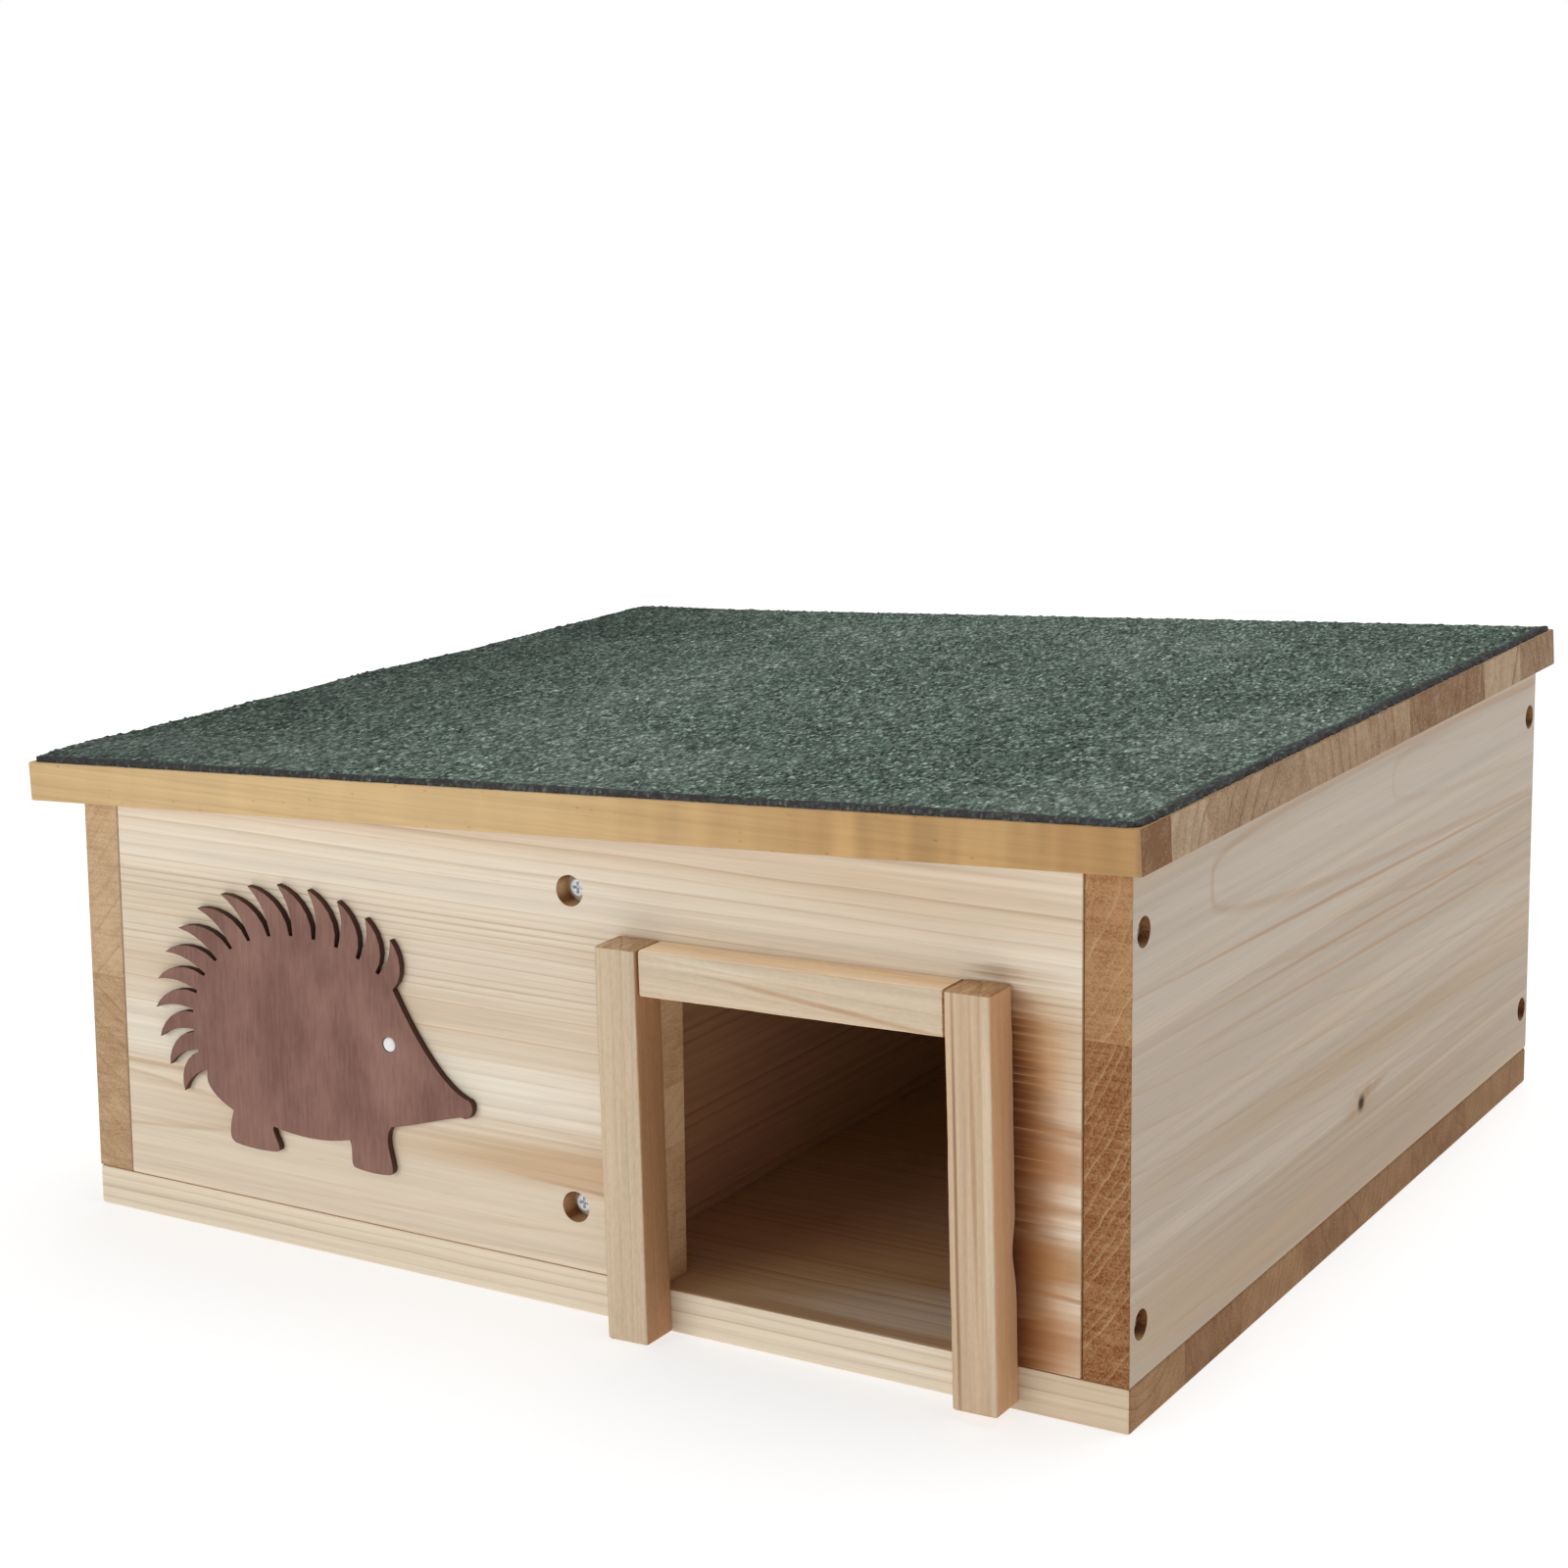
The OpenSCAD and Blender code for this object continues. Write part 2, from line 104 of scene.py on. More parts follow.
def setCamera(view):
    data = bpy.data.cameras.new("photo_camera")
    data.lens = view["lens"]
    data.sensor_width = view["sensor"]
    data.shift_x, data.shift_y = view["shift"]
    data.clip_start, data.clip_end = view["clip"]
    camera = bpy.data.objects.new("photo_camera", data)
    scene.collection.objects.link(camera)
    turn = Matrix.Rotation(math.radians(view["turn"]), 4, "Z")
    dip = Matrix.Rotation(math.radians(90 - view["dip"]), 4, "X")
    roll = Matrix.Rotation(math.radians(view["roll"]), 4, "Z")
    camera.matrix_world = Matrix.Translation(Vector(view["place"]) * mm) @ turn @ dip @ roll
    scene.camera = camera


def addSun(name, comesFrom, strength, softness):
    data = bpy.data.lights.new(name, "SUN")
    data.energy = strength * math.pi  # a white face square to it then has this brightness
    data.angle = math.radians(softness)
    lamp = bpy.data.objects.new(name, data)
    lamp.rotation_euler = Vector(comesFrom).to_track_quat("Z", "Y").to_euler()
    scene.collection.objects.link(lamp)


# Small helpers for material nodes: a value is a number, a colour or another node's output
def newMaterial(name):
    material = bpy.data.materials.new(name)
    material.use_nodes = True
    tree = material.node_tree
    tree.nodes.clear()
    shader = tree.nodes.new("ShaderNodeBsdfPrincipled")
    output = tree.nodes.new("ShaderNodeOutputMaterial")
    tree.links.new(shader.outputs[0], output.inputs[0])
    return material, tree, shader


def plug(tree, socket, value):
    if isinstance(value, bpy.types.NodeSocket):
        tree.links.new(value, socket)
    elif socket.type == "RGBA":
        socket.default_value = (*value, 1.0)
    else:
        socket.default_value = value


def calc(tree, operation, *values):
    node = tree.nodes.new("ShaderNodeMath")
    node.operation = operation
    for socket, value in zip(node.inputs, values):
        plug(tree, socket, value)
    return node.outputs[0]


def spread(tree, value, fromLow, fromHigh, toLow=0.0, toHigh=1.0):
    node = tree.nodes.new("ShaderNodeMapRange")
    for socket, entry in zip(node.inputs, (value, fromLow, fromHigh, toLow, toHigh)):
        plug(tree, socket, entry)
    return node.outputs[0]


def splitVector(tree, vector):
    node = tree.nodes.new("ShaderNodeSeparateXYZ")
    plug(tree, node.inputs[0], vector)
    return list(node.outputs)


def joinVector(tree, x, y, z):
    node = tree.nodes.new("ShaderNodeCombineXYZ")
    for socket, value in zip(node.inputs, (x, y, z)):
        plug(tree, socket, value)
    return node.outputs[0]


def vectorCalc(tree, operation, *values):
    node = tree.nodes.new("ShaderNodeVectorMath")
    node.operation = operation
    for socket, value in zip(node.inputs, values):
        plug(tree, socket, value)
    return node.outputs["Value" if operation == "LENGTH" else "Vector"]


def stretched(tree, vector, scale, turn=(0, 0, 0)):
    node = tree.nodes.new("ShaderNodeMapping")
    plug(tree, node.inputs["Vector"], vector)
    node.inputs["Scale"].default_value = scale
    node.inputs["Rotation"].default_value = turn
    return node.outputs[0]


def cloud(tree, vector, scale, detail=2.0, rough=0.5, turn=(0, 0, 0)):
    node = tree.nodes.new("ShaderNodeTexNoise")
    plug(tree, node.inputs["Vector"], stretched(tree, vector, scale, turn))
    node.inputs["Scale"].default_value = 1.0
    node.inputs["Detail"].default_value = detail
    node.inputs["Roughness"].default_value = rough
    return node.outputs[0]


def cells(tree, vector, scale):
    node = tree.nodes.new("ShaderNodeTexVoronoi")
    plug(tree, node.inputs["Vector"], vector)
    node.inputs["Scale"].default_value = scale
    return node.outputs["Distance"], splitVector(tree, node.outputs["Color"])


def dice(tree, value):
    node = tree.nodes.new("ShaderNodeTexWhiteNoise")
    node.noise_dimensions = "1D"
    plug(tree, node.inputs["W"], value)
    return node.outputs["Value"]


def ramp(tree, value, stops, steps=False):
    node = tree.nodes.new("ShaderNodeValToRGB")
    node.color_ramp.interpolation = "CONSTANT" if steps else "LINEAR"
    elements = node.color_ramp.elements
    while len(elements) < len(stops):
        elements.new(1.0)
    for element, (position, colour) in zip(elements, stops):
        element.position = position
        element.color = (*colour, 1.0)
    plug(tree, node.inputs[0], value)
    return node.outputs[0]


def blendColour(tree, share, first, second):
    node = tree.nodes.new("ShaderNodeMix")
    node.data_type = "RGBA"
    plug(tree, node.inputs[0], share)
    plug(tree, node.inputs[6], first)
    plug(tree, node.inputs[7], second)
    return node.outputs[2]


def setSurface(tree, shader, look, colour, roughness, height):
    plug(tree, shader.inputs["Base Color"], colour)
    plug(tree, shader.inputs["Roughness"], roughness)
    shader.inputs["Specular IOR Level"].default_value = look["gloss"]
    strength, reach = look["bump"]
    bump = tree.nodes.new("ShaderNodeBump")
    bump.inputs["Strength"].default_value = strength
    bump.inputs["Distance"].default_value = reach * mm
    plug(tree, bump.inputs["Height"], height)
    plug(tree, shader.inputs["Normal"], bump.outputs[0])


# Softwood, glued up from staves
softwood = {
    "pale": (0.745, 0.65, 0.51),
    "warm": (0.645, 0.495, 0.34),
    "blush": (0.65, 0.50, 0.35),
    "blushShare": 0.6,  # how strongly the blush bands show
    "late": (0.46, 0.29, 0.16),
    "endPale": (0.60, 0.43, 0.27),
    "endDark": (0.30, 0.165, 0.085),
    "endLine": (0.22, 0.105, 0.05),  # late wood on the end grain
    "endStrength": 0.6,
    "wornLeast": 0.5,  # how much of it is left where it is most worn
    "saw": 0.35,  # saw marks on the end grain
    "pores": 0.25,  # mottle of the end grain
    "blotch": 0.15,  # and its broader patches
    "seam": (0.72, 0.64, 0.56),  # darkening of the eased edges: dirt, and painted shade in the grooves where boards meet
    "longSeam": 0.3,  # less of it on edges along the grain
    "fibre": 0.07,  # how much the fibres vary in brightness
    "thread": 0.3,  # and the longer threads
    "fuzz": 0.0,  # roughness of a sawn face
    "specks": 0.0,
    "specksPerMetre": 150,
    "speckStretch": (1, 2.2, 2.2),
    "edgeTint": (1.0, 1.0, 1.0),  # faces across the width, cut at another angle to the rings; on some boards it also carries painted light and shade
    "sway": 2.5,
    "wiggle": 0.45,  # how far the rings leave a smooth curve, in rings
    "runout": 0.0,  # how far the grain leaves the board's edge, per length
    "figure": 0.0,  # ripple across the grain, on the edges
    "figureReach": 150,  # it grows over this length from the middle to the right
    "figureLeast": 0.2,
    "fleck": 0.25,
    "knot": (0.045, 0.022, 0.005),
    "knotBend": 1.2,  # how far the grain bends round a knot
    "knotHalo": 0.35,
    "knots": [],
    "streaks": [],
    "arches": [],
    "rough": (0.58, 0.8),
    "gloss": 0.25,
    "groove": 0.35,  # depth of the late wood, with the fibres' height as 1
    "fuzzHeight": 6,
    "poreHeight": 1.2,
    "bump": (0.35, 0.25),  # strength, and height in millimetres
}

# Noise in the wood, in cycles per metre along, across and through the board
woodNoise = {
    "sway": (4, 12, 12),
    "ripple": (12, 90, 90),
    "fibre": (18, 1000, 1000),
    "thread": (2.5, 420, 420),
    "bands": (2.0, 60, 60),
    "fleck": (70, 900, 900),
    "fuzz": (350, 1100, 1100),
    "figure": (110, 14, 14),
    "pores": (200, 1300, 1300),
    "blotch": (30, 110, 110),
    "sawn": (1, 700, 60),
    "worn": (40, 230, 230),
}
noiseSpan = (0.3, 0.7)  # where most of a noise's values lie
wideSpan = (0.2, 0.8)  # and where nearly all of them lie

# Where each of these starts to show and where it shows in full
woodSpans = {
    "fibre": (0.25, 0.75),
    "bands": (0.5, 0.75),
    "fleck": (0.66, 0.8),
    "worn": (0.38, 0.62),
    "speck": (0.05, 0.16),
    "pick": (0.6, 0.95),
    "endwise": (0.05, 0.5),
}
sawTurn = 0.75  # radians that the saw marks lean
pithReach = 500  # farthest a stave's pith lies from its board's first edge, or from its face
widestRing = 20
faintestRing = 0.1
steepestTaper = 0.2
ringProfile = ((0, 0), (0.5, 0.05), (0.8, 0.4), (0.93, 1), (1, 0.1))  # darkness across a ring
seedShares = (7.3, 25.1)  # of tone and pith, for a stave's own place in the noise
streakCore = 0.35  # share of a streak's size that has its full colour
archCore = 0.3
archWander = 0.2  # how far the ripple moves an arch, as a share of its opening
faceTurn = (0.55, 0.85)  # the normal's part along an axis as a face turns to that axis
seamTurn = (0.8, 0.985)  # and its largest part as an eased edge turns to a face
longEdge = 6  # shorter edges of a board, round its holes, stay sharp


def vary(tree, noise, amount):
    return spread(tree, noise, *noiseSpan, -amount, amount)


def streakShare(tree, along, across, mess, alongMid, acrossMid, halfLong, halfWide, slope):
    # how much of a streak a point has: all of it near the middle of a long oval, and none outside
    aside = calc(tree, "SUBTRACT", along, alongMid * mm)
    above = calc(tree, "SUBTRACT", across, acrossMid * mm)
    above = calc(tree, "MULTIPLY_ADD", aside, -slope, above)
    above = calc(tree, "MULTIPLY_ADD", mess, halfWide * mm, above)
    flat = joinVector(tree, aside, above, 0.0)
    oval = vectorCalc(tree, "LENGTH", stretched(tree, flat, (1 / (halfLong * mm), 1 / (halfWide * mm), 1)))
    return spread(tree, oval, streakCore, 1.0, 1, 0)


def archShare(tree, along, across, mess, tipAlong, tipAcross, opening, halfWide, slope):
    # nearness to an arch, along - tip = above^4 / opening^3: the curve's value over its gradient
    aside = calc(tree, "SUBTRACT", along, tipAlong * mm)
    above = calc(tree, "SUBTRACT", across, tipAcross * mm)
    above = calc(tree, "MULTIPLY_ADD", aside, -slope, above)
    above = calc(tree, "MULTIPLY_ADD", mess, archWander * opening * mm, above)
    above = calc(tree, "ABSOLUTE", above)
    cubed = calc(tree, "POWER", calc(tree, "DIVIDE", above, opening * mm), 3)
    off = calc(tree, "SUBTRACT", aside, calc(tree, "MULTIPLY", cubed, above))
    steep = calc(tree, "MULTIPLY", cubed, 4.0)
    gradient = calc(tree, "SQRT", calc(tree, "MULTIPLY_ADD", steep, steep, 1.0))
    away = calc(tree, "DIVIDE", calc(tree, "ABSOLUTE", off), gradient)
    return spread(tree, away, archCore * halfWide * mm, halfWide * mm, 1, 0)


def staveRamp(tree, share, starts, values):
    return splitVector(tree, ramp(tree, share, list(zip(starts, values)), steps=True))


def boardGrain(tree, look):
    # a point's place along, across and through the board, the way its face looks, and what its stave sets
    # there: a stepped ramp over the width carries each stave's values
    spot = tree.nodes.new("ShaderNodeTexCoord")
    sides = splitVector(tree, spot.outputs["Object"])
    wood = SimpleNamespace()
    wood.along, wood.across, wood.through = [sides[axis] for axis in look["axes"]]
    wood.grain = joinVector(tree, wood.along, wood.across, wood.through)
    wood.facing = [calc(tree, "ABSOLUTE", side) for side in splitVector(tree, spot.outputs["Normal"])]
    wood.isEnd, wood.isEdge = [spread(tree, wood.facing[axis], *faceTurn) for axis in look["axes"][:2]]

    staves = look["staves"]
    low = staves[0][0]
    high = look["last"]
    starts = [(stave[0] - low) / (high - low) for stave in staves]
    share = spread(tree, wood.across, low * mm, high * mm)
    wood.tone, pith, depth = staveRamp(tree, share, starts, [
        (stave[1], 0.5 + 0.5 * (stave[2] - low) / pithReach, 0.5 + 0.5 * stave[3] / pithReach)
        for stave in staves])
    wood.ring, wood.contrast, taper = staveRamp(tree, share, starts, [
        (stave[4] / widestRing, stave[5], 0.5 + 0.5 * stave[6] / steepestTaper) for stave in staves])
    wood.pith = spread(tree, pith, 0, 1, (low - pithReach) * mm, (low + pithReach) * mm)
    wood.depth = spread(tree, depth, 0, 1, -pithReach * mm, pithReach * mm)
    wood.taper = spread(tree, taper, 0, 1, -steepestTaper, steepestTaper)
    wood.seed = calc(tree, "MULTIPLY", pith, seedShares[1])
    wood.seed = calc(tree, "MULTIPLY_ADD", wood.tone, seedShares[0], wood.seed)
    wood.own = vectorCalc(tree, "ADD", wood.grain, joinVector(tree, wood.seed, wood.seed, wood.seed))
    wood.fibre = cloud(tree, wood.grain, woodNoise["fibre"], detail=3)
    wood.fuzz = cloud(tree, wood.grain, woodNoise["fuzz"], detail=4, rough=0.7)
    wood.pores = cloud(tree, wood.grain, woodNoise["pores"])
    return wood


def addRings(tree, look, wood):
    # growth rings are the distance from a pith line that runs nearly along the grain, divided by a ring's
    # width; the grain bends round a knot, and a lottery makes some rings fainter
    sway = calc(tree, "SUBTRACT", cloud(tree, wood.own, woodNoise["sway"]), 0.5)
    wood.ripple = calc(tree, "SUBTRACT", cloud(tree, wood.own, woodNoise["ripple"]), 0.5)
    sideways = calc(tree, "SUBTRACT", wood.across, wood.pith)
    sideways = calc(tree, "MULTIPLY_ADD", wood.along, -look["runout"], sideways)
    sideways = calc(tree, "MULTIPLY_ADD", sway, look["sway"] * mm, sideways)
    inward = calc(tree, "ABSOLUTE", calc(tree, "SUBTRACT", wood.through, look["face"] * mm))
    inward = calc(tree, "ADD", inward, wood.depth)
    inward = calc(tree, "MULTIPLY_ADD", wood.along, wood.taper, inward)
    wood.core = wood.halo = 0.0
    for knotAlong, knotAcross, knotSize, tail in look["knots"]:
        place = (wood.along, wood.across, wood.ripple, knotAlong, knotAcross)
        wood.core = calc(tree, "MAXIMUM", wood.core, streakShare(tree, *place, knotSize, knotSize, 0))
        bent = streakShare(tree, *place, tail, tail / 3, look["runout"])
        wood.halo = calc(tree, "MAXIMUM", wood.halo, bent)
        bend = calc(tree, "MULTIPLY", wood.halo, look["knotBend"])
        above = calc(tree, "SUBTRACT", wood.across, knotAcross * mm)
        sideways = calc(tree, "MULTIPLY_ADD", bend, above, sideways)
    reach = vectorCalc(tree, "LENGTH", joinVector(tree, sideways, inward, 0.0))
    years = calc(tree, "DIVIDE", reach, calc(tree, "MULTIPLY", wood.ring, widestRing * mm))
    years = calc(tree, "MULTIPLY_ADD", wood.ripple, look["wiggle"], years)
    lottery = dice(tree, calc(tree, "ADD", calc(tree, "FLOOR", years), calc(tree, "FLOOR", wood.seed)))
    profile = [(place, (dark, dark, dark)) for place, dark in ringProfile]
    wood.line = ramp(tree, calc(tree, "FRACT", years), profile)
    wood.line = calc(tree, "MULTIPLY", wood.line, spread(tree, lottery, 0, 1, faintestRing, 1))


def fibreBrightness(tree, look, wood, thread):
    # brightness about 1, from fibres and threads, and the fuzz, ripple and specks that some boards have
    bright = spread(tree, wood.fibre, *woodSpans["fibre"], 1 - look["fibre"], 1 + look["fibre"])
    bright = calc(tree, "MULTIPLY_ADD", thread, look["thread"], bright)
    bright = calc(tree, "ADD", bright, vary(tree, wood.fuzz, look["fuzz"]))
    if look["figure"]:
        wave = calc(tree, "SUBTRACT", cloud(tree, wood.grain, woodNoise["figure"], detail=1), 0.5)
        grown = spread(tree, wood.along, 0, look["figureReach"] * mm, look["figureLeast"], 1)
        wave = calc(tree, "MULTIPLY", wave, grown)
        wave = calc(tree, "MULTIPLY", wave, wood.isEdge)
        bright = calc(tree, "MULTIPLY_ADD", wave, look["figure"], bright)
    if look["specks"]:
        dot, pick = cells(tree, stretched(tree, wood.grain, look["speckStretch"]), look["specksPerMetre"])
        speck = spread(tree, dot, *woodSpans["speck"], 1, 0)
        speck = calc(tree, "MULTIPLY", speck, spread(tree, pick[0], *woodSpans["pick"]))
        bright = calc(tree, "MULTIPLY_ADD", speck, -look["specks"], bright)
    return bright


def longGrainColour(tree, look, wood):
    # the faces along the grain: bands, streaks and arches, then the rings' late wood, then fibres and knots
    thread = calc(tree, "SUBTRACT", cloud(tree, wood.grain, woodNoise["thread"]), 0.5)
    bands = cloud(tree, wood.own, woodNoise["bands"])
    fleck = spread(tree, cloud(tree, wood.grain, woodNoise["fleck"]), *woodSpans["fleck"])
    plain = blendColour(tree, wood.tone, look["warm"], look["pale"])
    bands = spread(tree, bands, *woodSpans["bands"], 0, look["blushShare"])
    plain = blendColour(tree, bands, plain, look["blush"])
    for *oval, colour, strength in look["streaks"]:
        share = streakShare(tree, wood.along, wood.across, thread, *oval)
        plain = blendColour(tree, calc(tree, "MULTIPLY", share, strength), plain, colour)
    for *curve, colour, strength in look["arches"]:
        share = archShare(tree, wood.along, wood.across, wood.ripple, *curve)
        plain = blendColour(tree, calc(tree, "MULTIPLY", share, strength), plain, colour)
    plain = blendColour(tree, calc(tree, "MULTIPLY", wood.line, wood.contrast), plain, look["late"])
    plain = blendColour(tree, calc(tree, "MULTIPLY", fleck, look["fleck"]), plain, look["late"])
    plain = vectorCalc(tree, "MULTIPLY", plain, fibreBrightness(tree, look, wood, thread))
    if look["knots"]:
        plain = blendColour(tree, calc(tree, "MULTIPLY", wood.halo, look["knotHalo"]), plain, look["late"])
        plain = blendColour(tree, wood.core, plain, look["knot"])
    return blendColour(tree, wood.isEdge, plain, vectorCalc(tree, "MULTIPLY", plain, look["edgeTint"]))


def endGrainColour(tree, look, wood):
    # the stave's tone, mottled by pores, patches and saw marks, then late wood where it isn't worn
    blotch = cloud(tree, wood.own, woodNoise["blotch"])
    sawn = cloud(tree, wood.grain, woodNoise["sawn"], detail=3, turn=(sawTurn, 0, 0))
    tone = calc(tree, "ADD", wood.tone, vary(tree, wood.pores, look["pores"]))
    tone = calc(tree, "ADD", tone, vary(tree, blotch, look["blotch"]))
    tone = calc(tree, "ADD", tone, vary(tree, sawn, look["saw"]))
    colour = blendColour(tree, tone, look["endDark"], look["endPale"])
    kept = cloud(tree, wood.own, woodNoise["worn"], detail=3)
    kept = spread(tree, kept, *woodSpans["worn"], look["wornLeast"], 1)
    kept = calc(tree, "MULTIPLY", kept, look["endStrength"])
    return blendColour(tree, calc(tree, "MULTIPLY", wood.line, kept), colour, look["endLine"])


def seamShare(tree, look, wood):
    # an eased edge is where the normal follows no axis closely
    flattest = calc(tree, "MAXIMUM", calc(tree, "MAXIMUM", wood.facing[0], wood.facing[1]), wood.facing[2])
    isSeam = spread(tree, flattest, *seamTurn, 1, 0)
    endwise = spread(tree, wood.facing[look["axes"][0]], *woodSpans["endwise"], look["longSeam"], 1)
    return calc(tree, "MULTIPLY", isSeam, endwise)


def woodMaterial(name, changes):
    look = {**softwood, **changes}
    material, tree, shader = newMaterial(name)
    wood = boardGrain(tree, look)
    addRings(tree, look, wood)
    colour = longGrainColour(tree, look, wood)
    colour = blendColour(tree, wood.isEnd, colour, endGrainColour(tree, look, wood))
    # eased edges darken: dirt, and painted shade in the grooves where boards meet
    seamDarkened = vectorCalc(tree, "MULTIPLY", colour, look["seam"])
    colour = blendColour(tree, seamShare(tree, look, wood), colour, seamDarkened)
    height = calc(tree, "MULTIPLY_ADD", wood.line, -look["groove"], wood.fibre)
    height = calc(tree, "MULTIPLY_ADD", wood.fuzz, look["fuzzHeight"] * look["fuzz"], height)
    openPores = calc(tree, "MULTIPLY", wood.pores, wood.isEnd)
    height = calc(tree, "MULTIPLY_ADD", openPores, look["poreHeight"], height)
    setSurface(tree, shader, look, colour, spread(tree, wood.fibre, *wideSpan, *look["rough"]), height)
    return material


# How a solid becomes a piece with eased edges
easing = {
    "merge": 0.002,  # corners closer than this are one
    "flat": 0.005,  # radians between two faces that count as one
    "outer": 50,  # degrees between the faces of an edge that is eased
    "smooth": 38,  # degrees up to which the shading runs on over an edge
    "segments": 2,
}
slotOf = {part["node"]: part["material_slot"] for part in frame["record"]["subparts"]}


def pieceFromNode(node, arris, shortest, material):
    # the board as it is built, with its outer edges rounded by the arris; edges below a length stay sharp
    mesh = nodes[node].data.copy()
    if "custom_normal" in mesh.attributes:
        mesh.attributes.remove(mesh.attributes["custom_normal"])
    merged = bmesh.new()
    merged.from_mesh(mesh)
    bmesh.ops.remove_doubles(merged, verts=merged.verts, dist=easing["merge"] * mm)
    bmesh.ops.dissolve_limit(merged, angle_limit=easing["flat"], verts=merged.verts, edges=merged.edges)
    outer = [edge for edge in merged.edges if edge.is_manifold and edge.calc_length() > shortest * mm
             and edge.calc_face_angle_signed() > math.radians(easing["outer"])]
    bmesh.ops.bevel(
        merged, geom=outer, offset=arris * mm, offset_type="OFFSET", segments=easing["segments"],
        profile=0.5, affect="EDGES", clamp_overlap=True)
    merged.to_mesh(mesh)
    merged.free()
    mesh.polygons.foreach_set("use_smooth", np.ones(len(mesh.polygons), bool))
    mesh.set_sharp_from_angle(angle=math.radians(easing["smooth"]))
    mesh.materials.clear()
    mesh.materials.append(material)
    piece = bpy.data.objects.new(node + "_piece", mesh)
    scene.collection.objects.link(piece)
    piece.modifiers.new("flat_faces", "WEIGHTED_NORMAL").keep_sharp = True
    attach(piece, nodes[node]["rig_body"])
    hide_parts(node)


def makeBoard(look):
    material = woodMaterial(look["node"] + "_wood", look)
    pieceFromNode(look["node"], look["arris"], longEdge, material)


# Each board's own look. A stave is where it starts across the board, its tone from 0 to 1, where its pith
# lies across and in front of the face, its rings' width, the lines' contrast and the pith's taper. A streak
# is its middle along and across, its half length and half width, its slope, its colour and its strength. An
# arch is its tip along and across, its opening, its half width, its slope, its colour and its strength. A
# knot is its place along and across, its size and the length of the grain that bends round it
tan = (0.57, 0.405, 0.25)
cream = (0.80, 0.73, 0.60)
russet = (0.46, 0.265, 0.14)
# colours of the right post's painted shadow on the front wall
postShadowAmber = (0.44, 0.18, 0.055)
postShadowUmber = (0.085, 0.024, 0.006)

# Painted shadow of the right post on the front wall: amber ovals up the wall and umber ones over them,
# centred behind the post. A level is its height, its half height and its share of the ovals' reach
postShadowMiddle = 178
postShadowLevels = ((26, 34, 1.0), (60, 34, 1.0), (94, 34, 1.0), (121, 30, 0.75))
paintedPostShadow = [
    (postShadowMiddle, level, share * reach, halfWide, 0.0, colour, strength)
    for reach, colour, strength in ((33, postShadowAmber, 0.9), (24, postShadowUmber, 0.78))
    for level, halfWide, share in postShadowLevels]
frontWall = {
    "node": "front_wall", "arris": 0.6, "axes": (0, 2, 1), "face": -216, "last": 192,
    "staves": [
        (16, 0.60, 48, 26, 6.5, 0.5, 0.05), (66, 1.0, 140, 30, 5.0, 0.4, 0.01),
        (88, 0.60, -60, 40, 3.2, 0.7, 0.005), (112, 0.80, 300, 30, 2.7, 0.85, 0.004),
        (146, 0.95, 20, 50, 5.0, 0.6, 0.008),
    ],
    "pale": (0.765, 0.68, 0.55), "warm": (0.64, 0.485, 0.33),
    "seam": (0.46, 0.36, 0.27), "endPale": (0.80, 0.55, 0.34), "endDark": (0.46, 0.26, 0.13),
    "endStrength": 0.3, "saw": 0.12, "edgeTint": (0.82, 0.64, 0.48),
    "streaks": [
        (-120, 104, 190, 9, 0.0, (0.655, 0.515, 0.375), 0.7),
        (-60, 78, 230, 9, 0.015, cream, 0.8),
        (20, 54, 140, 11, 0.02, tan, 0.95),
        (40, 45, 70, 1.6, -0.05, russet, 0.7),
        (-190, 63, 90, 1.5, 0.0, russet, 0.55),
        (160, 172, 105, 16, 0.0, (0.65, 0.52, 0.38), 0.75),
        # beside the right post: reddish bands, partly the wood's tone and partly painted shadow of the
        # post, with thin grain lines among them
        (186, 126, 32, 27, 0.0, (0.53, 0.335, 0.175), 0.85),
        (192, 88, 34, 11, 0.0, (0.52, 0.33, 0.20), 0.95),
        (196, 99.5, 38, 2.4, -0.05, (0.42, 0.235, 0.13), 0.7),
        (192, 72.5, 36, 3, 0.0, (0.56, 0.375, 0.245), 0.8),
        (198, 65.5, 34, 5, 0.0, cream, 0.8),
        (192, 52, 36, 11, 0.0, (0.44, 0.26, 0.135), 0.95),
        (196, 43, 38, 1.3, -0.06, (0.40, 0.22, 0.12), 0.8),
        (190, 27, 36, 15, 0.0, (0.50, 0.295, 0.165), 0.95),
        (-160, 128, 120, 12, 0.0, (0.67, 0.56, 0.40), 0.5),
        # the right post's painted shadow
        *paintedPostShadow,
    ],
}
